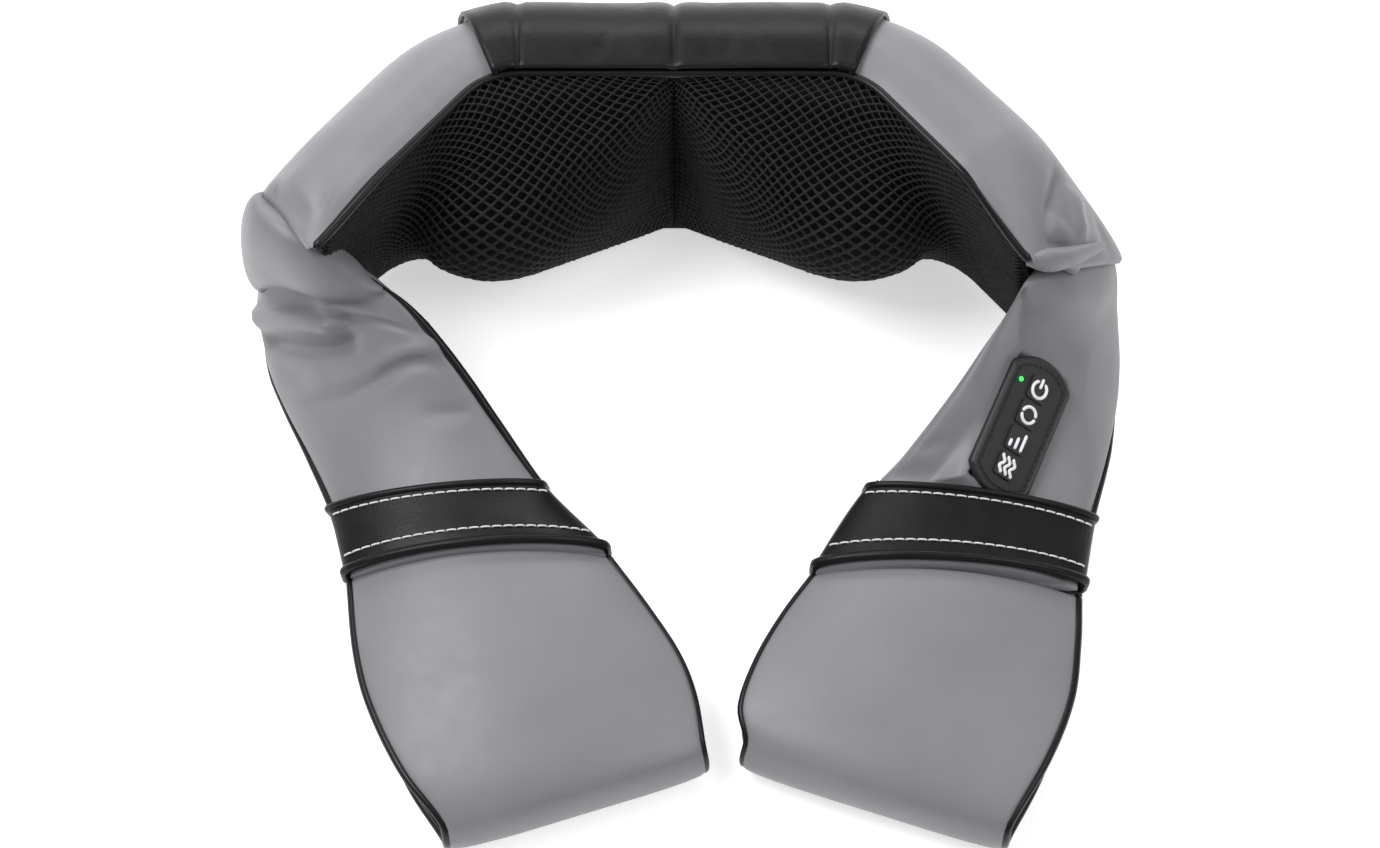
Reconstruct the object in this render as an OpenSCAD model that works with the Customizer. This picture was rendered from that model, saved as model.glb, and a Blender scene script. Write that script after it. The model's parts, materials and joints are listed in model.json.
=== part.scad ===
// Shiatsu neck massager: a padded U-shaped wrap with a twin-head kneading drive at its middle.
// Millimetres. +X runs across the wrap, +Y points to the back of the massage unit, +Z is up.
// The wrap lies on a table: the unit stands on its long edge and the two arms lie flat in front.

/* [Massage unit] */
// Height of the unit, standing on its long edge
unit_h = 145; // [140:1:150]
// Depth of the leather shell, from the mesh seam to the back
unit_depth = 52; // [50:1:56]
// Half the width of the straight middle of the mesh seam
middle_half = 75; // [70:1:80]
// Angle by which each wing of the unit bends forwards
wing_angle = 50; // [46:1:54]
// Length of each straight wing
wing_len = 109; // [104:1:114]
// Radius of the mesh seam where a wing begins
seam_r = 35; // [30:1:40]

/* [Drive] */
// Angle by which each kneading head leans to the middle
head_lean = 14; // [13:1:15]
// Teeth of the worm wheel
wheel_teeth = 40; // [40:1:40]
// Teeth of the pinion
pinion_teeth = 14; // [14:1:14]
// Teeth of the output gear
gear_teeth = 66; // [66:1:66]
// Radius of the tall node's ball
tall_ball = 12; // [11:0.5:12]
// Radius of the low node's ball
low_ball = 11.5; // [10:0.5:11.5]

/* [Arms] */
// Thickness of a padded arm
arm_t = 16; // [14:1:17]
// Thickness of one layer of a hand loop
loop_t = 9; // [8:1:10]
// Radius of a hand loop's fold, at the middle of its layer
fold_r = 16; // [15:1:17]
// Thickness of the leather band across an arm
band_t = 3; // [2:0.5:4]

/* [Control panel] */
// Width of the control panel
panel_w = 35; // [33:1:38]
// Length of the control panel
panel_l = 70; // [68:1:76]
// Side of one key
key_side = 12; // [11:0.5:13]
// Distance from one key to the next
key_pitch = 14; // [13.5:0.5:15]

/* [Hidden] */
frame_shift = [-5.2, 32.3, 0];

// Plan of the mesh seam
seam_y = 118;
bend_centre = [middle_half, seam_y - seam_r];
wing_dir = [cos(wing_angle), -sin(wing_angle)];
wing_out = [sin(wing_angle), cos(wing_angle)];
wing_start = bend_centre + seam_r * wing_out;
cover_angle = 21;
leather_t = 3;
shell_corner = 38;
gap = 0.3;

// Drive: a is the distance from the worm along a wing of the drive, t runs out of the wing's face
worm_y = 143;
mid_z = unit_h / 2;
worm_module = 1.25;
gear_module = 1.6;
worm_r = 7;
worm_lead = PI * worm_module;
wheel_a = worm_r + worm_module * wheel_teeth / 2;
head_a = wheel_a + gear_module * (pinion_teeth + gear_teeth) / 2;
tooth_play = 0.12;
worm_play = 0.25;
pressure_angle = 20;
wheel_t = 5;
gear_t0 = 5;
gear_t1 = 15;
hub_t = 22.5;
carrier_t = 4;
spindle_r = 5;
layshaft_r = 2;
shaft_r = 1.6;
running_gap = 0.05;
tall_radius = 14;
tall_tip = 62;
low_radius = 33;
low_tip = 51;
stem_r = 6.5;
motor_r = 12.2;
motor_z0 = 25;
motor_z1 = 52;
wall = 2.5;

// ---------- helpers ----------
function unit(v) = v / norm(v);
function flat(lists) = [for (l = lists) each l];
function lerp(a, b, f) = a + (b - a) * f;
function arc(c, r, a0, a1, n = 8) = [for (k = [0:n]) let (a = lerp(a0, a1, k / n)) c + r * [cos(a), sin(a)]];

// A closed solid through rings of equal length, each ring listed along its top and back along its underside
module skin(rings, flip = false) {
    n = len(rings[0]);
    m = len(rings);
    sides = [for (i = [0:m - 2], j = [0:n - 1]) let (k = (j + 1) % n, a = i * n + j, b = i * n + k)
        each [[a, b, b + n], [a, b + n, a + n]]];
    cap = [for (j = [0:n / 2 - 2]) let (k = n - 1 - j) each [[j, k, k - 1], [j, k - 1, j + 1]]];
    last = [for (f = cap) [for (q = [2:-1:0]) f[q] + (m - 1) * n]];
    faces = concat(sides, cap, last);
    polyhedron(flat(rings), flip ? [for (f = faces) [f[2], f[1], f[0]]] : faces, convexity = 8);
}

// ---------- leather shell of the unit ----------
// Outline of the shell across its run: depth from the seam, and height
function shell_side(inset) = let (r = shell_corner - inset, d = unit_depth - shell_corner, f = inset)
    concat([[0, f]], arc([d, shell_corner], r, -90, 0), arc([d, unit_h - shell_corner], r, 0, 90), [[0, unit_h - f]]);

function reversed(l) = [for (k = [len(l) - 1:-1:0]) l[k]];

module shell_section(inset, thick) {
    polygon(concat(shell_side(inset), reversed(shell_side(inset + thick))));
}

// Sweeps its child, drawn as depth and height, along the middle and the right half of the unit's plan
module sweep_middle(half) {
    translate([-half, seam_y, 0]) rotate([90, 0, 90]) linear_extrude(2 * half) children();
}

module sweep_bend(from, to) {
    translate(bend_centre) rotate([0, 0, 90 - to]) rotate_extrude(angle = to - from, $fn = 96)
        translate([seam_r, 0]) children();
}

module sweep_wing(from, to) {
    translate(wing_start + wing_dir * from) rotate([0, 0, -wing_angle]) rotate([90, 0, 90])
        linear_extrude(to - from) children();
}

module on_both() {
    children();
    mirror([1, 0, 0]) children();
}

module neck_cover() {
    color("#2b292d") {
        sweep_middle(middle_half) shell_section(0, leather_t);
        on_both() sweep_bend(0, cover_angle) shell_section(0, leather_t);
    }
}

module shoulder_panel() {
    color("#84868b") {
        sweep_bend(cover_angle + 0.3, wing_angle) shell_section(0, leather_t);
        sweep_wing(0, wing_len) shell_section(0, leather_t);
    }
}

module left_shoulder_panel() { mirror([1, 0, 0]) shoulder_panel(); }

module right_shoulder_panel() { shoulder_panel(); }

liner_t = 2;

module foam_liner() {
    color("#c9c3b0") {
        sweep_middle(middle_half) shell_section(leather_t + gap, liner_t);
        on_both() {
            sweep_bend(0, wing_angle) shell_section(leather_t + gap, liner_t);
            sweep_wing(0, 50) shell_section(leather_t + gap, liner_t);
        }
    }
}

module wing_foam() {
    color("#c9c3b0") sweep_wing(64, wing_len - 1) intersection() {
        polygon(shell_side(leather_t + gap));
        translate([6, 0]) square([unit_depth, unit_h]);
    }
}

module left_wing_foam() { mirror([1, 0, 0]) wing_foam(); }

module right_wing_foam() { wing_foam(); }

// Round cord sewn along the seam, at one height
piping_r = 2.2;
piping_out = 2.4;

module seam_piping(z) {
    right = [for (p = seam_points(wing_len - 6)) concat(p[0] - piping_out * p[1], z)];
    left = [for (p = reversed(right)) [-p[0], p[1], p[2]]];
    color("#1c1b1e") cord(concat(left, [for (k = [1:len(right) - 1]) right[k]]), piping_r);
}

module top_piping() { seam_piping(unit_h - 2.6); }

module bottom_piping() { seam_piping(2.6); }

// ---------- mesh cover over the heads ----------
// Half outline of the space that a turning head sweeps: radius and height along its axis
function head_space(grow) = [[0, 5], [46.5 + grow, 5], [46.5 + grow, 39 + grow], [42.5 + grow, 49 + grow],
    [24 + grow, 60 + grow], [14 + grow, 64 + grow], [0, 64 + grow]];

// Points along the right half of the seam, each with its outward direction
function seam_points(end, start = 0) = concat([[[start, seam_y], [0, 1]]],
    [for (k = [0:5]) let (a = k * wing_angle / 5, o = [sin(a), cos(a)]) [bend_centre + seam_r * o, o]],
    [[wing_start + wing_dir * end, wing_out]]);

module mesh_tent(grow, low, front, back, start) {
    mesh_end = wing_len - 16;
    hull() {
        on_head() rotate_extrude($fn = 32) polygon(head_space(grow));
        for (z = [low, unit_h - low - 1], p = seam_points(mesh_end, start), depth = [front, back])
            translate(concat(p[0] + depth * p[1], z)) cylinder(1, 0.3, 0.3, $fn = 6);
    }
}

module mesh_cover() {
    color("#242326") difference() {
        on_both() mesh_front() mesh_tent(2.5, 5.5, -0.8, -3.5, -2);
        on_both() mesh_front(-8, 1.5) mesh_tent(0, 8.5, 6, -1, 1.5);
    }
}

// Keeps only what lies in front of the seam
module mesh_front(depth = 0.8, middle = -0.5) {
    difference() {
        children();
        sweep_middle(middle_half + 1) translate([-depth, -5]) square([100, unit_h + 10]);
        sweep_bend(-5, wing_angle + 5) translate([-depth, -5]) square([100, unit_h + 10]);
        sweep_wing(-1, wing_len + 50) translate([-depth, -5]) square([100, unit_h + 10]);
        translate([middle - 300, 0, -5]) cube([300, 300, unit_h + 10]);
    }
}

// ---------- drive ----------
// Frame of the right half of the drive: X along the wing from the worm, Y up, Z out of its face
module on_drive(a = 0, t = 0) {
    translate([0, worm_y, mid_z]) rotate([90, 0, -head_lean]) translate([a, 0, t]) children();
}

module on_head() { on_drive(head_a, 0) children(); }

module drive_half_plan(in) {
    translate([head_a, 0]) circle(58 - in, $fn = 96);
    polygon([[-1, in - 48], [50, in - 48], [75, in - 62], [75, 62 - in], [50, 46 - in], [-1, 46 - in]]);
    for (p = screw_places) translate(p) circle(6 - in / 2, $fn = 32);
}

screw_places = [[38, -38], [75, -58], [75, 58], [38, 38]];
housing_back = -8;
housing_front = 20;
housing_split = 7;
tower_z0 = 22.3;
tower_z1 = 106;
bush_z = 100;

module housing_solid(in) {
    on_drive(0, housing_back + in) linear_extrude(housing_front - housing_back - 2 * in) drive_half_plan(in);
    translate([0, worm_y, tower_z0 + in]) cylinder(tower_z1 - tower_z0 - 2 * in, 14.8 - in, 14.8 - in, $fn = 64);
}

module housing_half() {
    intersection() {
        difference() {
            union() {
                difference() {
                    housing_solid(0);
                    housing_solid(wall);
                }
                for (p = screw_places) on_drive(p[0], housing_back) translate([0, p[1], 0])
                    cylinder(housing_front - housing_back, 4, 4, $fn = 32);
                on_drive(head_a, housing_back) cylinder(11, 9, 9, $fn = 48);
                on_drive(wheel_a, housing_back) cylinder(5, 5, 5, $fn = 32);
                translate([0, worm_y, bush_z]) cylinder(tower_z1 - bush_z, 5.5, 5.5, $fn = 48);
            }
            on_drive(head_a, housing_back + 0.4) cylinder(20, spindle_r, spindle_r, $fn = 48);
            on_drive(head_a, 4) cylinder(40, 16, 16, $fn = 64);
            on_drive(wheel_a, housing_back + 2) cylinder(40, layshaft_r, layshaft_r, $fn = 32);
            for (p = screw_places) on_drive(p[0], housing_back - 1) translate([0, p[1], 0])
                cylinder(26, 1.5, 1.5, $fn = 24);
            translate([0, worm_y, bush_z - 1]) cylinder(10, 4, 4, $fn = 32);
        }
        translate([0, 0, -10]) cube([400, 400, 300]);
    }
}

module housing_zone(from, to) {
    intersection() {
        on_drive() translate([-40, -200, from]) cube([300, 400, to - from]);
        translate([0, -100, -10]) cube([400, 500, 300]);
    }
}

module rear_housing() {
    color("#34363a") on_both() intersection() {
        housing_half();
        housing_zone(-60, housing_split - 0.1);
    }
}

module front_housing() {
    color("#3a3c41") on_both() intersection() {
        housing_half();
        housing_zone(housing_split + 0.1, 60);
    }
}

module housing_screws() {
    color("#b9bcc2") on_both() for (p = screw_places) on_drive(p[0]) translate([0, p[1], 0]) {
        translate([0, 0, housing_back - 2]) difference() {
            cylinder(1.9, 2.8, 2.8, $fn = 24);
            translate([-0.4, -2, -0.1]) cube([0.8, 4, 1]);
        }
        translate([0, 0, housing_back - 0.2]) cylinder(24, 1.4, 1.4, $fn = 24);
    }
}

module motor_can() {
    color("#9da1a8") translate([0, worm_y, motor_z0]) difference() {
        union() {
            cylinder(motor_z1 - motor_z0, motor_r, motor_r, $fn = 64);
            cylinder(motor_z1 - motor_z0 + 2, 4, 4, $fn = 48);
        }
        translate([0, 0, -0.1]) cylinder(motor_z1 - motor_z0 - 1.4, motor_r - 1.2, motor_r - 1.2, $fn = 64);
        cylinder(60, shaft_r + running_gap, shaft_r + running_gap, $fn = 32);
    }
}

module motor_end_cap() {
    color("#202124") translate([0, worm_y, motor_z0 + 0.2]) difference() {
        cylinder(5, motor_r - 1.4, motor_r - 1.4, $fn = 64);
        translate([0, 0, -0.1]) cylinder(6, shaft_r + running_gap, shaft_r + running_gap, $fn = 32);
    }
}

module motor_shaft() {
    color("#c7cad0") translate([0, worm_y, motor_z0 + 1]) {
        cylinder(tower_z1 - motor_z0 - 1.5, shaft_r, shaft_r, $fn = 32);
        translate([0, 0, 5.5]) cylinder(17, motor_r - 3.5, motor_r - 3.5, $fn = 48);
    }
}

// Outline of a one-start worm across its axis: the thread's axial shape, wrapped once round
worm_tip = worm_r + 0.8 * worm_module;
worm_root = worm_r - 1.2 * worm_module;
function worm_angle(r) = 360 / worm_lead * (worm_lead / 4 - worm_play - (r - worm_r) * tan(pressure_angle));

module worm_section() {
    flank = [for (k = [0:4]) let (r = lerp(worm_tip, worm_root, k / 4)) [r, worm_angle(r)]];
    half = concat([[worm_tip, 0], [worm_tip, worm_angle(worm_tip) / 2]], flank, [[worm_root, 156]]);
    turn = concat(half, [[worm_root, 180]], [for (k = [len(half) - 1:-1:1]) [half[k][0], -half[k][1]]]);
    polygon([for (p = turn) p[0] * [cos(p[1]), sin(p[1])]]);
}

worm_len = 22;

module worm() {
    // The thread's crest stands half a pitch above the middle, on the side of the right wheel
    worm_phase = -head_lean - 180;
    color("#b8935a") translate([0, worm_y, mid_z - worm_len / 2]) difference() {
        rotate([0, 0, worm_phase - 360 * worm_len / 2 / worm_lead])
            linear_extrude(worm_len, twist = -360 * worm_len / worm_lead, slices = 14 * 6) worm_section();
        translate([0, 0, -1]) cylinder(worm_len + 2, shaft_r, shaft_r, $fn = 32);
    }
}

module worm_bush() {
    color("#c08a4a") translate([0, worm_y, bush_z]) difference() {
        cylinder(5.4, 4, 4, $fn = 32);
        translate([0, 0, -1]) cylinder(8, shaft_r + running_gap, shaft_r + running_gap, $fn = 32);
    }
}

// Angle of an involute at radius r, in degrees, and a gear's outline
function involute(rb, r) = r <= rb ? 0 : let (a = acos(rb / r)) tan(a) * 180 / PI - a;

module gear_outline(teeth, m, tip = 1, root = 1.25) {
    rp = m * teeth / 2;
    rb = rp * cos(pressure_angle);
    r0 = rp - root * m;
    half = 90 / teeth - tooth_play / rp * 180 / PI + involute(rb, rp);
    steps = [for (k = [0:3]) lerp(max(r0, rb), rp + tip * m, k / 3)];
    side = concat([[r0, half - involute(rb, max(r0, rb))]], r0 < rb ? steps : [for (k = [1:3]) steps[k]],
        []);
    flank = [for (p = side) is_list(p) ? p : [p, half - involute(rb, p)]];
    polygon([for (k = [0:teeth - 1]) let (c = 360 * k / teeth)
        each concat([for (p = flank) p[0] * [cos(c - p[1]), sin(c - p[1])]],
            [for (p = reversed(flank)) p[0] * [cos(c + p[1]), sin(c + p[1])]])]);
}

// Turn of the left wheel that meets the worm's thread on its far side
left_turn = (0.5 - 2 * head_lean / 360) * 360 / wheel_teeth;

module worm_wheel(turn) {
    color("#e3dfd2") on_drive(wheel_a) rotate([0, 0, turn]) difference() {
        union() {
            translate([0, 0, -wheel_t / 2]) linear_extrude(wheel_t) gear_outline(wheel_teeth, worm_module, 0.8);
            translate([0, 0, wheel_t / 2 - 0.1]) linear_extrude(gear_t1 - wheel_t / 2 + 0.6)
                gear_outline(pinion_teeth, gear_module);
        }
        translate([0, 0, -20]) cylinder(60, layshaft_r + running_gap, layshaft_r + running_gap, $fn = 32);
    }
}

module left_worm_wheel() { mirror([1, 0, 0]) worm_wheel(left_turn); }

module right_worm_wheel() { worm_wheel(0); }

module layshaft() {
    color("#c7cad0") on_drive(wheel_a, housing_back + 2.2) cylinder(25.6, layshaft_r, layshaft_r, $fn = 32);
}

module left_layshaft() { mirror([1, 0, 0]) layshaft(); }

module right_layshaft() { layshaft(); }

module spindle() {
    color("#c7cad0") on_drive(head_a, housing_back + 0.5) difference() {
        cylinder(37.5, spindle_r, spindle_r, $fn = 48);
        translate([0, 0, -1]) cylinder(45, 2.5, 2.5, $fn = 32);
    }
}

module left_spindle() { mirror([1, 0, 0]) spindle(); }

module right_spindle() { spindle(); }

// The output gear's tooth gap faces the pinion's tooth when the pinion is turned by turn
module output_gear(turn) {
    mesh_turn = 180 / gear_teeth - turn * pinion_teeth / gear_teeth;
    color("#e3dfd2") on_drive(head_a) difference() {
        union() {
            rotate([0, 0, mesh_turn]) difference() {
                translate([0, 0, gear_t0]) linear_extrude(gear_t1 - gear_t0) gear_outline(gear_teeth, gear_module);
                for (k = [0:5]) rotate([0, 0, 60 * k]) translate([33, 0, 0]) cylinder(30, 9, 9, $fn = 32);
            }
            translate([0, 0, gear_t0]) cylinder(hub_t - gear_t0, 15, 15, $fn = 64);
        }
        cylinder(60, spindle_r + running_gap, spindle_r + running_gap, $fn = 48);
    }
}

module left_output_gear() { mirror([1, 0, 0]) output_gear(left_turn); }

module right_output_gear() { output_gear(0); }

carrier_z = hub_t + carrier_t;

module carrier() {
    color("#2f3135") on_drive(head_a, hub_t) difference() {
        union() {
            cylinder(carrier_t, 20, 20, $fn = 48);
            for (k = [0, 180]) rotate([0, 0, 90 + k]) {
                translate([low_radius, 0, 0]) cylinder(carrier_t, 10, 10, $fn = 48);
                translate([0, -8, 0]) cube([low_radius, 16, carrier_t]);
            }
        }
        translate([0, 0, -1]) cylinder(10, 7, 7, $fn = 32);
    }
}

module left_carrier() { mirror([1, 0, 0]) carrier(); }

module right_carrier() { carrier(); }

module knead_node(tip, ball) {
    rotate_extrude($fn = 48) polygon(concat([[0, 0], [stem_r, 0], [stem_r, tip - 2.1 * ball]],
        arc([0, tip - ball], ball, -40, 90, 14)));
}

module tall_nodes() {
    color("#d8d5cc") for (k = [0, 180]) on_drive(head_a, carrier_z) rotate([0, 0, k]) translate([tall_radius, 0, 0])
        knead_node(tall_tip - carrier_z, tall_ball);
}

module low_nodes() {
    color("#d8d5cc") for (k = [90, 270]) on_drive(head_a, carrier_z) rotate([0, 0, k]) translate([low_radius, 0, 0])
        knead_node(low_tip - carrier_z, low_ball);
}

module left_tall_nodes() { mirror([1, 0, 0]) tall_nodes(); }

module right_tall_nodes() { tall_nodes(); }

module left_low_nodes() { mirror([1, 0, 0]) low_nodes(); }

module right_low_nodes() { low_nodes(); }

module retaining_clip() {
    color("#c7cad0") on_drive(head_a, hub_t + 0.3) difference() {
        cylinder(1.2, 6.8, 6.8, $fn = 32);
        translate([0, 0, -1]) cylinder(4, spindle_r, spindle_r, $fn = 48);
        translate([4, -1.5, -1]) cube([5, 3, 4]);
    }
}

module left_retaining_clip() { mirror([1, 0, 0]) retaining_clip(); }

module right_retaining_clip() { retaining_clip(); }

module heat_lamp() {
    color("#b3261e") on_drive(head_a, 30.2) {
        cylinder(2, 6.2, 6.2, $fn = 48);
        translate([0, 0, 2]) rotate_extrude($fn = 48) polygon(concat([[0, 0]], arc([0, 0], 5, 0, 90)));
    }
}

module left_heat_lamp() { mirror([1, 0, 0]) heat_lamp(); }

module right_heat_lamp() { heat_lamp(); }

module driver_board() {
    color("#2c6b3f") on_drive(108, -5.3) {
        translate([0, -24, 0]) cube([32, 46, 1.6]);
        translate([4, -18, 1.6]) cube([10, 14, 3]);
        translate([20, -16, 1.6]) cylinder(6, 4, 4, $fn = 32);
        translate([18, 4, 1.6]) cube([9, 12, 5]);
    }
}

// ---------- arms ----------
// A strap station: outer edge, inner edge, crown of its middle, and thickness
left_stations = [
    [[-213, 42, 14], [-166, 6, 104], 4, arm_t], [[-206, 24, 14], [-140, 2, 92], 5, arm_t],
    [[-196, 2, 15], [-114, -4, 75], 7, arm_t], [[-181, -30, 19], [-90, -26, 55], 9, arm_t],
    [[-165, -66, 25], [-62, -60, 38], 11, arm_t], [[-156, -101, 29], [-33, -91, 36], 13, arm_t]];
right_stations = [
    [[223, 44, 14], [168, 5, 104], 4, arm_t], [[223, 24, 15], [148, -12, 88], 5, arm_t],
    [[220, 0, 17], [129, -32, 70], 7, arm_t], [[213, -34, 21], [110, -50, 53], 9, arm_t],
    [[201, -78, 26], [95, -59, 40], 11, arm_t], [[195, -110, 30], [69, -101, 36], 13, arm_t]];
left_front = [
    [[-156, -103, 29], [-32, -93, 36], 14, loop_t], [[-151, -140, 32], [-14, -119, 36], 14, loop_t],
    [[-143, -169, 34], [1, -144, 37], 12, loop_t], [[-126, -204, 37], [9, -166, 37], 8, loop_t]];
right_front = [
    [[195, -112, 30], [68, -103, 36], 14, loop_t], [[193, -136, 32], [54, -123, 36], 14, loop_t],
    [[188, -166, 34], [41, -147, 37], 12, loop_t], [[175, -198, 37], [33, -171, 37], 8, loop_t]];
left_back = [
    [[-126, -196, 5], [6, -163, 5], 0, loop_t], [[-144, -150, 7], [-10, -128, 8], -3, loop_t],
    [[-158, -90, 14], [-44, -80, 22], -10, loop_t]];
right_back = [
    [[175, -192, 5], [36, -163, 5], 0, loop_t], [[192, -140, 7], [52, -126, 8], -3, loop_t],
    [[198, -94, 15], [78, -84, 24], -10, loop_t]];
left_fold_edges = [[-110, -218, 21], [10, -180, 21]];
right_fold_edges = [[160, -218, 21], [39, -177, 21]];

strap_steps = 8;

function edge_fade(v) = 0.3 + 0.7 * sqrt(1 - pow(abs(v), 3));

// One ring of a strap across a station; up is the way its face looks
function strap_ring(s, up) = let (c = (s[0] + s[1]) / 2, w = (s[1] - s[0]) / 2)
    flat([for (side = [1, -1]) [for (k = [0:strap_steps]) let (v = side * (-1 + 2 * k / strap_steps))
        c + w * v + up * (s[2] * (1 - v * v) + side * s[3] / 2 * edge_fade(v))]]);

function centre(s) = (s[0] + s[1]) / 2;

function strap_up(list, i, hand) = let (a = max(i - 1, 0), b = min(i + 1, len(list) - 1))
    unit(hand * cross(centre(list[b]) - centre(list[a]), list[i][1] - list[i][0]));

// Stations in between, on a smooth curve through the given ones
function curve(p0, p1, p2, p3, f) = 0.5 * (2 * p1 + f * (p2 - p0) + f * f * (2 * p0 - 5 * p1 + 4 * p2 - p3)
    + f * f * f * (3 * p1 - p0 - 3 * p2 + p3));

function fine(list, n) = let (last = len(list) - 1) concat([for (i = [0:last - 1], k = [0:n - 1])
    [for (q = [0:3]) curve(list[max(i - 1, 0)][q], list[i][q], list[i + 1][q], list[min(i + 2, last)][q], k / n)]],
    [list[last]]);

// Rings of a strap through a list of stations
function strap_rings(list, hand) = let (smooth = fine(list, 3))
    [for (i = [0:len(smooth) - 1]) strap_ring(smooth[i], strap_up(smooth, i, hand))];

module strap(list, hand) { skin(strap_rings(list, hand), hand < 0); }

// Rings round the fold at the loop's end, from the upper layer to the lower one
function fold_rings(edges, hand) = let (back = unit(hand * cross([0, 0, 1], edges[1] - edges[0])))
    [for (a = [90:-22.5:-90]) let (out = [0, 0, sin(a)] - back * cos(a))
        strap_ring([edges[0] + fold_r * out, edges[1] + fold_r * out, 8 * max(sin(a), 0), loop_t], out)];

module loop_front(list, edges, hand) {
    skin(concat(strap_rings(list, hand), fold_rings(edges, hand)), hand < 0);
}

module left_arm_pad() { color("#84868b") strap(left_stations, 1); }

module right_arm_pad() {
    color("#84868b") difference() {
        strap(right_stations, -1);
        on_panel() translate([0, 0, tray_floor - 0.3]) linear_extrude(40) panel_outline(0.4);
        on_panel() translate([0, socket_y, -60]) cylinder(60, socket_r + 0.4, socket_r + 0.4, $fn = 32);
    }
}

module left_loop_front() { color("#84868b") loop_front(left_front, left_fold_edges, 1); }

module right_loop_front() { color("#84868b") loop_front(right_front, right_fold_edges, -1); }

module left_loop_back() { color("#84868b") strap(left_back, 1); }

module right_loop_back() { color("#84868b") strap(right_back, -1); }

// A station grown all round, and one moved along its arm
function grown(s, g) = let (w = unit(s[1] - s[0])) [s[0] - g * w, s[1] + g * w, s[2], s[3] + 2 * g];

function moved(s, by) = [s[0] + by, s[1] + by, s[2], s[3]];

// Leather sleeve round the last stretch of an arm
module sleeve(list, hand) {
    n = len(list);
    smooth = fine([for (i = [n - 4:n - 1]) list[i]], 3);
    way = unit(centre(smooth[9]) - centre(smooth[6]));
    difference() {
        skin([for (i = [6, 9]) strap_ring(grown(smooth[i], band_t), strap_up(smooth, i, hand))], hand < 0);
        skin([for (i = [6, 9]) let (by = (i < 9 ? -2 : 2) * way)
            strap_ring(grown(moved(smooth[i], by), 0.4), strap_up(smooth, i, hand))], hand < 0);
    }
}

module left_band() { color("#232226") sleeve(left_stations, 1); }

module right_band() { color("#232226") sleeve(right_stations, -1); }

// Round cord through a list of points
module cord(path, r) {
    last = len(path) - 1;
    skin([for (i = [0:last])
        let (t = unit(path[min(i + 1, last)] - path[max(i - 1, 0)]), x = unit(cross(t, [0, 0, 1])), y = cross(x, t))
        [for (j = [0:11]) let (a = 165 - 30 * j) path[i] + r * (x * cos(a) + y * sin(a))]], true);
}

module arm_piping(list) {
    smooth = fine([for (i = [0:len(list) - 2]) list[i]], 3);
    edge = [for (s = smooth) grown(s, piping_out)];
    cut = [for (i = [2:len(edge) - 2]) edge[i]];
    color("#1c1b1e") for (side = [0, 1]) cord([for (s = cut) s[side]], piping_r);
}

module left_piping() { arm_piping(left_stations); }

module right_piping() { arm_piping(right_stations); }

// Where each arm swings
left_hinge = [-213, 48, 50];
right_hinge = [223, 50, 50];

// Leather that closes the end of a wing and leads to the arm, cut clear of the arm's swing
module gusset_hull(list, hand, inset) {
    way = unit(centre(list[0]) - centre(list[1]));
    up = strap_up(list, 0, hand);
    hull() {
        mirror([hand > 0 ? 1 : 0, 0, 0]) sweep_wing(wing_len + 0.3, wing_len + 0.8) polygon(shell_side(inset + 0.5));
        skin([strap_ring(grown(moved(list[0], 2.5 * way), -inset), up),
            strap_ring(grown(moved(list[0], 1.5 * way), -inset), up)], hand < 0);
    }
}

module gusset(list, hand) {
    hinge = hand > 0 ? left_hinge : right_hinge;
    end = 3 * unit(list[0][0] + list[0][1] - list[1][0] - list[1][1]);
    color("#7c7e83") difference() {
        gusset_hull(list, hand, 0);
        gusset_hull(list, hand, 2.5);
        for (a = [0, 17.5]) hull() for (b = [a, a + 17.5])
            translate(hinge) rotate([0, 0, -hand * b]) translate(-hinge)
            strap(concat([grown(moved(list[0], end), 2)], [for (i = [0:2]) grown(list[i], 2)]), hand);
    }
}

module left_gusset() { gusset(left_stations, 1); }

module right_gusset() {
    difference() {
        gusset(right_stations, -1);
        cord(arm_cable_path(), 2.2);
    }
}

// ---------- control panel ----------
panel_centre = [168, -32, 56];
panel_face = unit([0.5, -0.39, 0.77]);
panel_across = unit(cross([0.41, 0.9, 0.2], panel_face));
panel_along = cross(panel_face, panel_across);
panel_end_r = 24;
panel_t = 3.5;
tray_floor = -8;
light_at = [-11.5, 1.5 * key_pitch, 0];
socket_y = -14;
socket_r = 5.5;
socket_depth = 9;

// Frame of the panel: X to the arm's outer edge, Y towards the unit, Z out of its face
module on_panel() {
    multmatrix([for (k = [0:2]) [panel_across[k], panel_along[k], panel_face[k], panel_centre[k]]]) children();
}

module panel_outline(grow) {
    r = panel_end_r + grow;
    wide = asin((panel_w / 2 + grow) / r);
    end = panel_l / 2 - panel_end_r;
    polygon(concat(arc([0, end], r, 90 - wide, 90 + wide), arc([0, -end], r, 270 - wide, 270 + wide)));
}

module soft_square(side, r) {
    offset(r, $fn = 32) square(side - 2 * r, center = true);
}

function key_y(i) = (1.5 - i) * key_pitch;

module panel_frame() {
    color("#1d1d20") on_panel() difference() {
        linear_extrude(panel_t) panel_outline(0);
        for (i = [0:3]) translate([0, key_y(i), -1]) linear_extrude(panel_t + 2) soft_square(key_side + 0.5, 1.8);
        translate(light_at - [0, 0, 1]) cylinder(panel_t + 2, 1.25, 1.25, $fn = 24);
    }
}

module panel_tray() {
    color("#2a2a2d") on_panel() translate([0, 0, tray_floor]) difference() {
        linear_extrude(-tray_floor - 0.1) panel_outline(-0.5);
        translate([0, 0, 1.5]) linear_extrude(20) panel_outline(-2);
    }
}

module key_board() {
    color("#2c6b3f") on_panel() translate([0, 0, tray_floor + 1.7]) {
        linear_extrude(1.6) panel_outline(-2.4);
        for (i = [0:3]) translate([0, key_y(i), 1.5]) cylinder(2.6, 2.4, 2.4, $fn = 32);
    }
}

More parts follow.
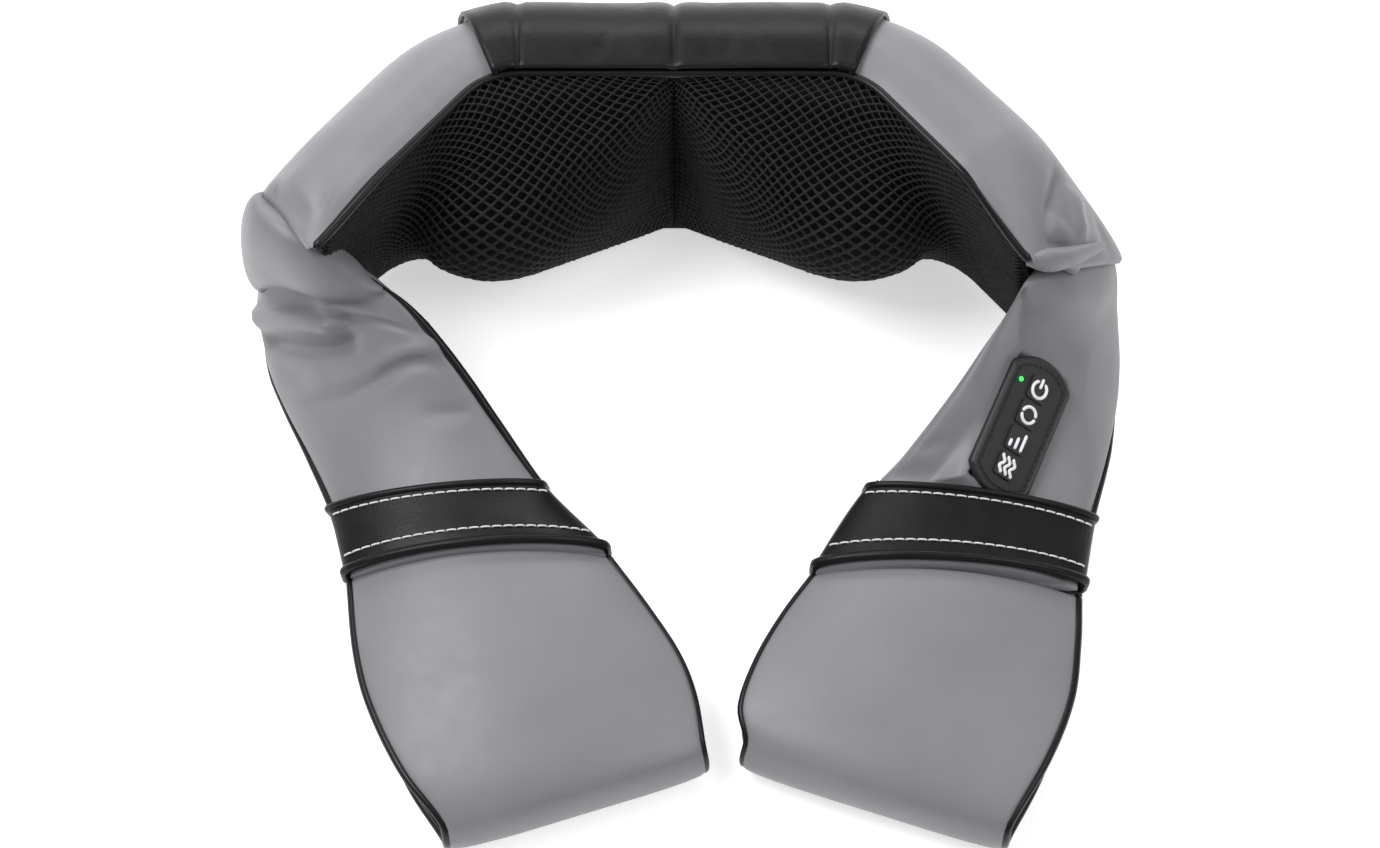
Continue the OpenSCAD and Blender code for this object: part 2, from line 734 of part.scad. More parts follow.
module key(i) {
    color("#26262a") on_panel() translate([0, key_y(i), 0]) {
        translate([0, 0, -1.1]) linear_extrude(panel_t + 2.1) soft_square(key_side, 1.5);
        translate([0, 0, -1.1]) linear_extrude(1) soft_square(key_side + 1.3, 1.5);
    }
}

module power_key() { key(0); }

module direction_key() { key(1); }

module speed_key() { key(2); }

module heat_key() { key(3); }

module status_light() {
    color("#39d96a") on_panel() translate(light_at) {
        translate([0, 0, -2]) cylinder(panel_t + 2.2, 1.15, 1.15, $fn = 24);
        translate([0, 0, -2.6]) cylinder(1, 1.9, 1.9, $fn = 24);
    }
}

// The power inlet faces away from the panel, out of the arm's underside
module on_socket() {
    on_panel() translate([0, socket_y, tray_floor - 0.1]) rotate([180, 0, 0]) children();
}

module power_socket() {
    color("#151517") on_socket() difference() {
        cylinder(socket_depth + 1.5, socket_r, socket_r, $fn = 48);
        translate([0, 0, 1.5]) cylinder(socket_depth + 1, 2.8, 2.8, $fn = 48);
    }
}

module power_socket_pin() {
    color("#c9a24b") on_socket() translate([0, 0, 1.6]) cylinder(socket_depth - 1, 1.05, 1.05, $fn = 32);
}

// ---------- wiring ----------
module unit_cable() {
    start = wing_start + wing_dir * (wing_len - 4) + wing_out * 24;
    turn = wing_start + wing_dir * 56 + wing_out * 30;
    end = wing_start + wing_dir * 37 + wing_out * 34;
    color("#17171a") cord([concat(start, 60), concat(turn, 62), concat(end, 64)], 1.6);
}

function arm_cable_path() = let (
    way = [for (i = [0:2]) centre(right_stations[i]) + right_stations[i][2] * strap_up(right_stations, i, -1)],
    entry = panel_centre + (panel_l / 2 - 4) * panel_along + (tray_floor + 6) * panel_face)
    [entry, entry + 6 * panel_along - 3 * panel_face, way[1], way[0]];

module arm_cable() { color("#17171a") cord(arm_cable_path(), 1.6); }

translate(frame_shift) neck_cover();
translate(frame_shift) left_shoulder_panel();
translate(frame_shift) right_shoulder_panel();
translate(frame_shift) mesh_cover();
translate(frame_shift) top_piping();
translate(frame_shift) bottom_piping();
translate(frame_shift) foam_liner();
translate(frame_shift) left_wing_foam();
translate(frame_shift) right_wing_foam();
translate(frame_shift) left_gusset();
translate(frame_shift) right_gusset();
translate(frame_shift) rear_housing();
translate(frame_shift) front_housing();
translate(frame_shift) housing_screws();
translate(frame_shift) motor_can();
translate(frame_shift) motor_end_cap();
translate(frame_shift) motor_shaft();
translate(frame_shift) worm();
translate(frame_shift) worm_bush();
translate(frame_shift) left_worm_wheel();
translate(frame_shift) right_worm_wheel();
translate(frame_shift) left_layshaft();
translate(frame_shift) right_layshaft();
translate(frame_shift) left_spindle();
translate(frame_shift) right_spindle();
translate(frame_shift) left_output_gear();
translate(frame_shift) right_output_gear();
translate(frame_shift) left_carrier();
translate(frame_shift) right_carrier();
translate(frame_shift) left_tall_nodes();
translate(frame_shift) right_tall_nodes();
translate(frame_shift) left_low_nodes();
translate(frame_shift) right_low_nodes();
translate(frame_shift) left_retaining_clip();
translate(frame_shift) right_retaining_clip();
translate(frame_shift) left_heat_lamp();
translate(frame_shift) right_heat_lamp();
translate(frame_shift) driver_board();
translate(frame_shift) left_arm_pad();
translate(frame_shift) right_arm_pad();
translate(frame_shift) left_loop_front();
translate(frame_shift) right_loop_front();
translate(frame_shift) left_loop_back();
translate(frame_shift) right_loop_back();
translate(frame_shift) left_band();
translate(frame_shift) right_band();
translate(frame_shift) left_piping();
translate(frame_shift) right_piping();
translate(frame_shift) panel_frame();
translate(frame_shift) panel_tray();
translate(frame_shift) power_key();
translate(frame_shift) direction_key();
translate(frame_shift) speed_key();
translate(frame_shift) heat_key();
translate(frame_shift) status_light();
translate(frame_shift) key_board();
translate(frame_shift) power_socket();
translate(frame_shift) power_socket_pin();
translate(frame_shift) unit_cable();
translate(frame_shift) arm_cable();
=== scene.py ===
"""Looks of the shiatsu neck massager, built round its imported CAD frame.

Lengths are millimetres in the drive unit's own frame until place() turns them into metres in the row frame.
"""

import json
import math

import bmesh
import bpy
import numpy as np
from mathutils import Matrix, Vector


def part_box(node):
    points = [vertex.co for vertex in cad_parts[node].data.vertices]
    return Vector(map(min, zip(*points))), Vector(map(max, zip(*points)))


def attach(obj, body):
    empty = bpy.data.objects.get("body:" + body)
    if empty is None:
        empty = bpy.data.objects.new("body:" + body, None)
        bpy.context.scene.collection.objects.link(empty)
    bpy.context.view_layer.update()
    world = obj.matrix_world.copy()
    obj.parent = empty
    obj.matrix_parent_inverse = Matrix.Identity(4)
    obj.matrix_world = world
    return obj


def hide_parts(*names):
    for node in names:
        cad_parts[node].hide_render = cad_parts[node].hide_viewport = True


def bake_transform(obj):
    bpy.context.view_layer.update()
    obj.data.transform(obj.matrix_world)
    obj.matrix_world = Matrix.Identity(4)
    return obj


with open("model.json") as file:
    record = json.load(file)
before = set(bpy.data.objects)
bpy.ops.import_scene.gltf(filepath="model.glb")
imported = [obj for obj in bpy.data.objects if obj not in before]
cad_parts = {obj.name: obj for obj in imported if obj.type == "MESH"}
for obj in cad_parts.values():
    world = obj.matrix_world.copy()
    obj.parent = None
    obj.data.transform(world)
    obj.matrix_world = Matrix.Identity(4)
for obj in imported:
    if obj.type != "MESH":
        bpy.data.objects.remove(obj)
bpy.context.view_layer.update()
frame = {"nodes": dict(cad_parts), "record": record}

MM = 0.001
HAND = {-1: "left", 1: "right"}
rng = np.random.default_rng(7)

# ---- frame of the unit
SHELL_DEPTH = 52.0
SEAM_Y = 118.0
UNIT_H = 145.0
SEAM_R = 35.0
MIDDLE_HALF = 75.0
WING = math.radians(50)
WING_LEN = 109.0
CORNER = 38.0
PIPE_R = 2.3

cover_low, cover_high = (np.array(c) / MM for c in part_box("neck_cover"))
SHIFT = np.array([(cover_low[0] + cover_high[0]) / 2, cover_high[1] - SEAM_Y - SHELL_DEPTH, 0.0])


def place(points):
    """Points of the unit's frame, in millimetres, as metres in the row frame."""
    return (np.asarray(points, float) + SHIFT) * MM


# ---- curves
def unit(v):
    v = np.asarray(v, float)
    return v / np.maximum(np.linalg.norm(v, axis=-1, keepdims=True), 1e-9)


def spline(points, at, knots=None):
    """Smooth curve through points (first axis), read at parameters from 0 to 1."""
    p = np.asarray(points, float)
    if knots is None:
        step = np.linalg.norm(np.diff(p, axis=0), axis=-1)
        step = step.reshape(len(step), -1).mean(axis=1)
        knots = np.concatenate([[0], np.cumsum(step)])
        knots = knots / knots[-1]
    knots = np.asarray(knots, float)
    slope = np.zeros_like(p)
    for i in range(len(p)):
        a, b = max(i - 1, 0), min(i + 1, len(p) - 1)
        slope[i] = (p[b] - p[a]) / (knots[b] - knots[a])
    at = np.clip(np.asarray(at, float), 0, 1)
    i = np.clip(np.searchsorted(knots, at, side="right") - 1, 0, len(p) - 2)
    h = knots[i + 1] - knots[i]
    f = (at - knots[i]) / h
    shape = (-1,) + (1,) * (p.ndim - 1)
    f, h = f.reshape(shape), h.reshape(shape)
    return (
        (2 * f**3 - 3 * f**2 + 1) * p[i]
        + (f**3 - 2 * f**2 + f) * h * slope[i]
        + (-2 * f**3 + 3 * f**2) * p[i + 1]
        + (f**3 - f**2) * h * slope[i + 1]
    )


def smooth(x, low, high):
    """0 below low, 1 above high, with a smooth ramp between."""
    f = np.clip((x - low) / (high - low), 0, 1)
    return f * f * (3 - 2 * f)


def lengths(points):
    """Running length along a list of points."""
    return np.concatenate([[0], np.cumsum(np.linalg.norm(np.diff(points, axis=0), axis=1))])


def evenly(points, step):
    """The same polyline with points about step apart."""
    run = lengths(points)
    n = max(2, int(round(run[-1] / step)) + 1)
    at = np.linspace(0, run[-1], n)
    return np.stack([np.interp(at, run, points[:, k]) for k in range(3)], axis=1)


def normals(grid):
    """Unit normals of a grid of points [u, v, 3]."""
    return unit(np.cross(np.gradient(grid, axis=0), np.gradient(grid, axis=1)))


# ---- meshes
EDGE_ROUND = 0.42
STITCH_POINTS = 7


def mesh_object(name, points, faces, material):
    """A smooth mesh from points of the unit's frame."""
    data = bpy.data.meshes.new(name)
    corners = [tuple(p) for p in place(points).reshape(-1, 3)]
    data.from_pydata(corners, [], [tuple(int(i) for i in f) for f in faces])
    data.validate()
    data.materials.append(material)
    data.polygons.foreach_set("use_smooth", [True] * len(data.polygons))
    obj = bpy.data.objects.new(name, data)
    bpy.context.scene.collection.objects.link(obj)
    return obj


def grid_faces(nu, nv, closed_v=False, flip=False, start=0):
    """Four-sided faces of a grid of nu by nv points."""
    i, j = np.meshgrid(np.arange(nu - 1), np.arange(nv if closed_v else nv - 1), indexing="ij")
    a = i * nv + j
    b = i * nv + (j + 1) % nv
    c = (i + 1) * nv + (j + 1) % nv
    d = (i + 1) * nv + j
    f = np.stack([a, b, c, d], axis=-1).reshape(-1, 4) + start
    return f[:, ::-1] if flip else f


def sheet_object(name, grid, material, thickness):
    """A skin of the given thickness with one face on the grid. Its edges are closed and rounded."""
    nu, nv = grid.shape[:2]
    n = normals(grid)
    inner = grid - n * thickness
    mid = grid - n * thickness / 2
    points = np.concatenate([grid.reshape(-1, 3), inner.reshape(-1, 3)])
    faces = [grid_faces(nu, nv), grid_faces(nu, nv, flip=True, start=nu * nv)]
    loop = [(i, 0) for i in range(nu)] + [(nu - 1, j) for j in range(1, nv)]
    loop += [(i, nv - 1) for i in range(nu - 2, -1, -1)] + [(0, j) for j in range(nv - 2, 0, -1)]
    top = np.array([i * nv + j for i, j in loop])
    edge = np.array([mid[i, j] for i, j in loop])
    inside = np.array([grid[min(max(i, 1), nu - 2), min(max(j, 1), nv - 2)] for i, j in loop])
    own = np.array([grid[i, j] for i, j in loop])
    # The middle line of the edge is pushed out a little, which rounds it
    edge = edge + unit(own - inside) * thickness * EDGE_ROUND
    base = len(points)
    points = np.concatenate([points, edge])
    k = np.arange(len(loop))
    nxt = (k + 1) % len(loop)
    low = top + nu * nv
    first = np.stack([top[k], base + k, base + nxt, top[nxt]], axis=1)
    second = np.stack([base + k, low[k], low[nxt], base + nxt], axis=1)
    side = np.concatenate([first, second])
    faces.append(side[:, ::-1])
    return mesh_object(name, points, np.concatenate(faces), material)


def ring_object(name, rings, material):
    """A solid through closed rings of points [u, ring, 3], closed at both ends."""
    nu, nv = rings.shape[:2]
    points = rings.reshape(-1, 3)
    faces = [tuple(f) for f in grid_faces(nu, nv, closed_v=True)]
    points = np.concatenate([points, [rings[0].mean(axis=0)], [rings[-1].mean(axis=0)]])
    for j in range(nv):
        k = (j + 1) % nv
        faces.append((nu * nv, k, j))
        faces.append((nu * nv + 1, (nu - 1) * nv + j, (nu - 1) * nv + k))
    return outward_faces(mesh_object(name, points, faces, material))


def outward_faces(obj):
    """Turns the faces outwards."""
    bm = bmesh.new()
    bm.from_mesh(obj.data)
    bmesh.ops.recalc_face_normals(bm, faces=bm.faces)
    bm.to_mesh(obj.data)
    bm.free()
    return obj


def tube_rings(path, radius, sides=14):
    """Rings of a round cord along a path, with rounded ends."""
    path = np.asarray(path, float)
    t = unit(np.gradient(path, axis=0))
    x = np.cross(t[0], [0.0, 0.0, 1.0])
    if np.linalg.norm(x) < 0.1:
        x = np.cross(t[0], [1.0, 0.0, 0.0])
    x = unit(x)
    radius = np.broadcast_to(np.asarray(radius, float), (len(path),)).copy()
    a = np.linspace(0, 2 * math.pi, sides, endpoint=False)
    rings = []
    for i in range(len(path)):
        x = unit(x - t[i] * np.dot(x, t[i]))
        y = np.cross(t[i], x)
        rings.append(path[i] + radius[i] * (np.cos(a)[:, None] * x + np.sin(a)[:, None] * y))
    rings = np.array(rings)
    caps = [(0.0, 0.35), (0.6, 0.8)]
    first = [path[0] - t[0] * radius[0] * (1 - s) * 0.9 + (rings[0] - path[0]) * f for s, f in caps]
    last = [
        path[-1] + t[-1] * radius[-1] * (1 - s) * 0.9 + (rings[-1] - path[-1]) * f for s, f in caps[::-1]
    ]
    return np.concatenate([first, rings, last])


def tube_object(name, path, radius, material, sides=14):
    return ring_object(name, tube_rings(path, radius, sides), material)


def many_tubes(name, paths, radius, material, sides=6):
    """Many small cords in one object, such as stitches."""
    points, faces, base = [], [], 0
    for path in paths:
        r = tube_rings(path, radius, sides)
        nu, nv = r.shape[:2]
        points.append(r.reshape(-1, 3))
        faces += [tuple(f) for f in grid_faces(nu, nv, closed_v=True, start=base)]
        faces.append(tuple(base + j for j in range(nv)))
        faces.append(tuple(base + (nu - 1) * nv + j for j in reversed(range(nv))))
        base += nu * nv
    return outward_faces(mesh_object(name, np.concatenate(points), faces, material))


def stitch_paths(line, out, pitch, long, lift=0.55):
    """Short arched stitches along a line whose outward directions are out."""
    run = lengths(line)
    count = int(run[-1] / pitch)
    paths = []
    for k in range(count):
        mid = (k + 0.5) * run[-1] / count
        at = mid + np.linspace(-0.5, 0.5, STITCH_POINTS) * long
        p = np.stack([np.interp(at, run, line[:, c]) for c in range(3)], axis=1)
        n = unit(np.stack([np.interp(at, run, out[:, c]) for c in range(3)], axis=1))
        arch = 1 - np.linspace(-1, 1, STITCH_POINTS) ** 4
        paths.append(p + n * (arch[:, None] * lift - 0.1))
    return paths


# ---- materials
def new_material(name):
    m = bpy.data.materials.new(name)
    m.use_nodes = True
    tree = m.node_tree
    bsdf = tree.nodes["Principled BSDF"]
    return m, tree, bsdf


def node(tree, kind, **values):
    n = tree.nodes.new(kind)
    for key, value in values.items():
        if key in n.inputs:
            n.inputs[key].default_value = value
        else:
            setattr(n, key, value)
    return n


def mapped(tree):
    """Position on the piece itself, in metres."""
    return node(tree, "ShaderNodeTexCoord").outputs["Object"]


def noise(tree, vector, scale, detail=3.0, rough=0.5):
    n = node(tree, "ShaderNodeTexNoise", Scale=scale, Detail=detail, Roughness=rough)
    tree.links.new(vector, n.inputs["Vector"])
    return n.outputs["Fac"]


def ramp(tree, value, low, high, a, b):
    n = node(tree, "ShaderNodeMapRange")
    for key, v in (("From Min", low), ("From Max", high), ("To Min", a), ("To Max", b)):
        n.inputs[key].default_value = v
    tree.links.new(value, n.inputs["Value"])
    return n.outputs["Result"]


def mix_colour(tree, factor, a, b):
    n = node(tree, "ShaderNodeMix", data_type="RGBA")
    n.inputs["A"].default_value = (*a, 1)
    n.inputs["B"].default_value = (*b, 1)
    tree.links.new(factor, n.inputs["Factor"])
    return n.outputs["Result"]


def bump(tree, bsdf, height, strength, distance, after=None):
    n = node(tree, "ShaderNodeBump", Strength=strength, Distance=distance)
    tree.links.new(height, n.inputs["Height"])
    if after is not None:
        tree.links.new(after, n.inputs["Normal"])
    tree.links.new(n.outputs["Normal"], bsdf.inputs["Normal"])
    return n.outputs["Normal"]


def leather(name, dark, light, rough, grain=900.0, grain_depth=0.00006, sheen=0.0, spec=0.5):
    """Coated leather: cloudy colour, a fine pebbled grain and soft unevenness."""
    m, tree, bsdf = new_material(name)
    v = mapped(tree)
    cloud = noise(tree, v, 22.0, 4.0)
    colour = mix_colour(tree, ramp(tree, cloud, 0.3, 0.7, 0, 1), dark, light)
    tree.links.new(colour, bsdf.inputs["Base Color"])
    gloss = ramp(tree, noise(tree, v, 90.0), 0.25, 0.75, rough - 0.05, rough + 0.06)
    tree.links.new(gloss, bsdf.inputs["Roughness"])
    cells = node(tree, "ShaderNodeTexVoronoi", feature="SMOOTH_F1", Scale=grain)
    tree.links.new(v, cells.inputs["Vector"])
    low = bump(tree, bsdf, noise(tree, v, 60.0, 3.0), 0.25, 0.0006)
    bump(tree, bsdf, cells.outputs["Distance"], 0.6, grain_depth, after=low)
    bsdf.inputs["Specular IOR Level"].default_value = spec
    if sheen:
        bsdf.inputs["Sheen Weight"].default_value = sheen
        bsdf.inputs["Sheen Roughness"].default_value = 0.5
    return m


def plastic(name, colour, rough, speckle=0.03, grain=1400.0, depth=0.00003, metallic=0.0, spec=0.5):
    """Moulded or turned finish with a fine texture and small changes of tone."""
    m, tree, bsdf = new_material(name)
    v = mapped(tree)
    a = tuple(max(c * (1 - speckle * 3), 0) for c in colour)
    tree.links.new(mix_colour(tree, noise(tree, v, 45.0, 4.0), a, colour), bsdf.inputs["Base Color"])
    gloss = ramp(tree, noise(tree, v, 160.0), 0.3, 0.7, rough - 0.05, rough + 0.05)
    tree.links.new(gloss, bsdf.inputs["Roughness"])
    bump(tree, bsdf, noise(tree, v, grain, 2.0), 0.3, depth)
    bsdf.inputs["Metallic"].default_value = metallic
    bsdf.inputs["Specular IOR Level"].default_value = spec
    return m


def knit(name, dark, light, rough, scale=2400.0, sheen=0.25, spec=0.25):
    """Knitted yarn: fine twisted fibres over a soft body."""
    m, tree, bsdf = new_material(name)
    v = mapped(tree)
    fibres = noise(tree, v, scale, 5.0, 0.7)
    colour = mix_colour(tree, ramp(tree, fibres, 0.3, 0.75, 0, 1), dark, light)
    tree.links.new(colour, bsdf.inputs["Base Color"])
    bsdf.inputs["Roughness"].default_value = rough
    bsdf.inputs["Sheen Weight"].default_value = sheen
    bsdf.inputs["Specular IOR Level"].default_value = spec
    bsdf.inputs["Sheen Roughness"].default_value = 0.4
    bump(tree, bsdf, fibres, 0.7, 0.0003)
    return m


GREY = leather("grey_leather", (0.175, 0.177, 0.190), (0.196, 0.198, 0.212), 0.46, sheen=0.05, spec=0.4)
BLACK = leather(
    "black_leather", (0.0055, 0.005, 0.0058), (0.0085, 0.0078, 0.009), 0.38, 700.0, 0.0001, spec=0.2
)
PIPING = leather("piping", (0.004, 0.004, 0.0045), (0.007, 0.007, 0.0075), 0.34, 900.0, 0.00005, spec=0.25)
NET = knit("spacer_mesh", (0.006, 0.006, 0.0065), (0.030, 0.029, 0.031), 0.7, sheen=0.03)
# Near-black inner layer behind the net: a real dark backing, made darker still as painted shade inside the
# mesh holes
HOLE_SHADE_BACKING = knit("mesh_backing_hole_shade", (0.0006, 0.0006, 0.0007), (0.0015, 0.0015, 0.0016), 0.9, sheen=0.0)
WHITE_THREAD = knit("white_thread", (0.55, 0.55, 0.56), (0.8, 0.8, 0.8), 0.6)
BLACK_THREAD = knit("black_thread", (0.006, 0.006, 0.007), (0.02, 0.02, 0.022), 0.6)
SILICONE = plastic("panel_silicone", (0.017, 0.017, 0.019), 0.48)
KEY = plastic("panel_key", (0.022, 0.022, 0.025), 0.42)
PRINT = plastic("white_print", (0.83, 0.84, 0.86), 0.5)


# ---- drive unit
def seam(run):
    """Points of the mesh seam in plan and the outward direction there, by signed run from its middle."""
    run = np.asarray(run, float)
    side, far = np.sign(run), np.abs(run)
    angle = np.clip((far - MIDDLE_HALF) / SEAM_R, 0, WING)
    straight = np.maximum(far - MIDDLE_HALF - SEAM_R * WING, 0)
    x = np.minimum(far, MIDDLE_HALF) + SEAM_R * np.sin(angle) + math.cos(WING) * straight
    y = SEAM_Y - SEAM_R + SEAM_R * np.cos(angle) - math.sin(WING) * straight
    return np.stack([side * x, y], -1), np.stack([side * np.sin(angle), np.cos(angle)], -1)


WING_END = MIDDLE_HALF + SEAM_R * WING + WING_LEN
PROFILE_POINTS = 400


def shell_profile():
    """Depth and height round the unit's section, from the lower seam to the upper one."""
    a = np.linspace(0, math.pi / 2, 24)
    low = np.stack([SHELL_DEPTH - CORNER + CORNER * np.sin(a), CORNER - CORNER * np.cos(a)], 1)
    high = np.stack([low[::-1, 0], UNIT_H - low[::-1, 1]], 1)
    line = np.concatenate([[[0, 0]], low, high, [[0, UNIT_H]]])
    line = np.concatenate([line, np.zeros((len(line), 1))], 1)
    run = lengths(line)
    at = np.linspace(0, run[-1], PROFILE_POINTS)
    return np.stack([np.interp(at, run, line[:, k]) for k in range(2)], 1)


# Share of its height that each wing loses towards the arm, and the span of runs it happens over
DROOP = {-1: 0.05, 1: 0.13}
DROOP_SPAN = (158, 216)
# How far round the section the lower seam ends up on the wings, and the span of runs it climbs over
LOWER_START = 0.135
LOWER_SPAN = (98, 134)


def lower_seam(runs):
    """How far round the section the lower seam lies: it climbs the back of the wings towards the arms."""
    return LOWER_START * smooth(np.abs(runs), *LOWER_SPAN)


def shell_grid(runs, count, grow=0.0, at=None):
    """Grid of the unit's outer surface at the given runs; grow may change along and round it."""
    p, n = seam(runs)
    profile = shell_profile()
    out = np.gradient(profile, axis=0)
    out = unit(np.stack([out[:, 1], -out[:, 0]], 1))
    start = lower_seam(runs)[:, None]
    at = start + (1 - start) * np.linspace(0, 1, count)[None, :] if at is None else np.asarray(at)
    read = lambda values: np.interp(at.ravel(), np.linspace(0, 1, PROFILE_POINTS), values).reshape(at.shape)
    grow = np.broadcast_to(grow, at.shape)
    d = read(profile[:, 0]) + read(out[:, 0]) * grow
    z = read(profile[:, 1]) + read(out[:, 1]) * grow
    droop = np.where(runs < 0, DROOP[-1], DROOP[1]) * smooth(np.abs(runs), *DROOP_SPAN)
    z = z * (1 - droop)[:, None]
    return np.concatenate([p[:, None, :] + n[:, None, :] * d[..., None], z[..., None]], -1)


def near(grid, out, line):
    """Distance along the cloth from each grid point to a curve, and where along it, 0 to 1."""
    line = evenly(spline(line, np.linspace(0, 1, 60)), 2.0)
    gap = grid.reshape(-1, 1, 3) - line[None]
    deep = (gap * out.reshape(-1, 1, 3)).sum(axis=2)
    d = np.sqrt(np.maximum((gap**2).sum(axis=2) - deep**2, 0)) + np.maximum(np.abs(deep) - 22, 0) * 3
    k = d.argmin(axis=1)
    return d[np.arange(len(d)), k].reshape(grid.shape[:2]), (k / (len(line) - 1)).reshape(grid.shape[:2])


def fold(grid, out, line, width, height, fade=0.25, sharp=1.0):
    """Raises (or sinks, with a negative height) the cloth along a curve."""
    d, t = near(grid, out, line)
    taper = smooth(t, -0.02, fade) * (1 - smooth(t, 1 - fade, 1.02))
    return grid + out * (height * np.exp(-((d / width) ** 2) ** sharp) * taper)[..., None]


def soft_noise(grid, amount, scale, seed):
    """Gentle unevenness of padded cloth: a sum of a few long waves."""
    r = np.random.default_rng(seed)
    total = np.zeros(grid.shape[:2])
    for _ in range(9):
        k = unit(r.normal(size=3)) / (scale * r.uniform(0.6, 1.8))
        total += np.sin(grid @ k * 2 * math.pi + r.uniform(0, 6.28)) * r.uniform(0.4, 1)
    return total * amount / 3


# Leather lies flat on the table, half its thickness up
TABLE_GAP = 1.4
HEM_ANGLE = math.radians(21)
HEM_RUN = MIDDLE_HALF + SEAM_R * HEM_ANGLE


def neck_cover():
    runs = np.linspace(-HEM_RUN, HEM_RUN, 121)
    count = 90
    v = np.linspace(0, 1, count)[None, :]
    u = np.abs(runs)[:, None]
    # Padded: fuller between the seams, drawn in at the middle seam, and turned under at the hems
    full = np.sin(math.pi * v)
    grow = 1.2 + 1.8 * full * (1 - smooth(u, HEM_RUN - 16, HEM_RUN)) - 1.6 * np.exp(-((u / 2.6) ** 2))
    grow = grow + 0.5 * np.exp(-(((u - 9) / 5) ** 2)) * full
    grow = grow - 1.1 * np.exp(-(((u - HEM_RUN + 12) / 1.3) ** 2))
    grow = grow + 1.0 * smooth(u, HEM_RUN - 11.5, HEM_RUN - 9)
    grid = shell_grid(runs, count, grow)
    out = outward(grid, np.array([0.0, 120.0, 72.0]))
    for x, lean, deep in ((-38, 7, 0.5), (-17, -5, 0.4), (24, 6, 0.5), (47, -6, 0.4)):
        grid = fold(grid, out, [(x, 118, 145), (x + lean, 140, 143), (x + lean, 160, 128)], 4.0, -deep, 0.4)
    grid = grid + out * soft_noise(grid, 0.3, 70, 3)[..., None]
    grid[..., 2] = np.maximum(grid[..., 2], TABLE_GAP)
    obj = sheet_object("neck_cover_leather", grid, BLACK, 2.6)
    outward_faces(obj)
    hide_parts("neck_cover")
    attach(obj, "massage_unit")
    for side, name in HAND.items():
        edge = shell_grid(np.array([side * (HEM_RUN - 1.2)]), 150, 1.1)[0]
        edge[:, 2] = np.maximum(edge[:, 2], 2.0)
        hem = tube_object(name + "_cover_hem", evenly(edge, 2.5), 2.0, BLACK)
        rides(hem, "massage_unit")
        line = shell_grid(np.array([side * (HEM_RUN - 12)]), 240, 1.3)[0]
        out_line = shell_grid(np.array([side * (HEM_RUN - 12)]), 240, 3.3)[0] - line
        s = many_tubes(name + "_cover_stitches", stitch_paths(line, out_line, 5.0, 3.9), 0.45, BLACK_THREAD)
        rides(s, "massage_unit")


def outward(grid, centre):
    """Normals of a grid, turned away from a centre."""
    n = normals(grid)
    sign = np.sign(((grid - centre) * n).sum(axis=2).mean())
    return n * (sign if sign else 1)


def rides(obj, body, replaces=()):
    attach(obj, body)
    if replaces:
        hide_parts(*replaces)


def arm_blend(obj, replaces):
    """Hides the parts that the cloth between the wing and the arm replaces and bakes its placement into the
    mesh; it rides on no body.
    """
    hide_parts(*replaces)
    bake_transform(obj)


# Where each wing's leather ends, from its lower seam over the back to its top seam
WING_CUT = {-1: 190.0, 1: 166.0}
WING_EDGE = {
    -1: [
        (-188, 42, 8), (-199, 58, 14), (-205, 68, 40), (-207, 70, 75),
        (-204, 66, 100), (-197, 59, 121), (-185, 42, 131), (-172, 22, 137),
    ],
    1: [
        (188, 44, 8), (204, 60, 12), (212, 68, 30), (217, 66, 52),
        (221, 54, 73), (206, 39, 96), (189, 28, 112), (172, 22, 124),
    ],
}
WING_AT = [0.0, 0.17, 0.33, 0.48, 0.62, 0.75, 0.88, 1.0]


def wing_end(side, last, along, count):
    """Rows that carry a wing's leather from its last plain section to its edge, and roll it under."""
    v = np.linspace(0, 1, count)
    edge = spline(WING_EDGE[side], v, WING_AT)
    reach = np.linalg.norm(edge - last, axis=1, keepdims=True)
    t = np.linspace(0, 1, 34)[1:, None, None]
    lead = along * reach * 0.8
    core = edge.mean(axis=0) - along[0] * 4
    turn = (edge - last) * 0.7 + unit(core - edge) * 14 * np.minimum((1 - v) * 12, 1)[:, None]
    h = [2 * t**3 - 3 * t**2 + 1, t**3 - 2 * t**2 + t, -2 * t**3 + 3 * t**2, t**3 - t**2]
    rows = h[0] * last + h[1] * lead + h[2] * edge + h[3] * turn
    a = np.linspace(0, 1, 14)[1:, None, None]
    under = edge + (core - edge) * (0.9 * a) + along * (2.5 * np.sin(math.pi * np.minimum(a * 4, 1)) - 12 * a)
    return np.concatenate([rows, under])


def shoulder_panel(side):
    """Grey leather round one wing, from under the cover's hem to the fold where the arm begins."""
    name = HAND[side]
    runs = side * np.linspace(HEM_RUN - 8, WING_CUT[side], 80)
    count = 150
    v = np.linspace(0, 1, count)[None, :]
    u = np.abs(runs)[:, None]
    puff = 2.2 * np.sin(math.pi * v) ** 0.7 * smooth(u, HEM_RUN, HEM_RUN + 25)
    tuck = -1.6 * np.exp(-((v / 0.02) ** 2)) - 1.6 * np.exp(-(((1 - v) / 0.02) ** 2))
    grid = shell_grid(runs, count, -1.0 + puff + tuck)
    along = unit((grid[-1] - grid[-3]).mean(axis=0))
    grid = np.concatenate([grid, wing_end(side, grid[-1], along[None, :], count)])
    out = outward(grid, np.array([side * 140.0, 60.0, 72.0]))
    for line, width, height, fade in WING_FOLDS[side]:
        grid = fold(grid, out, line, width, height, fade)
    grid = grid + out * soft_noise(grid, 0.45, 80, 11 + side)[..., None]
    grid[..., 2] = np.maximum(grid[..., 2], TABLE_GAP)
    obj = sheet_object(name + "_shoulder_leather", grid, GREY, 1.6)
    outward_faces(obj)
    rides(obj, "massage_unit", [name + "_shoulder_panel", name + "_wing_foam", "foam_liner"])


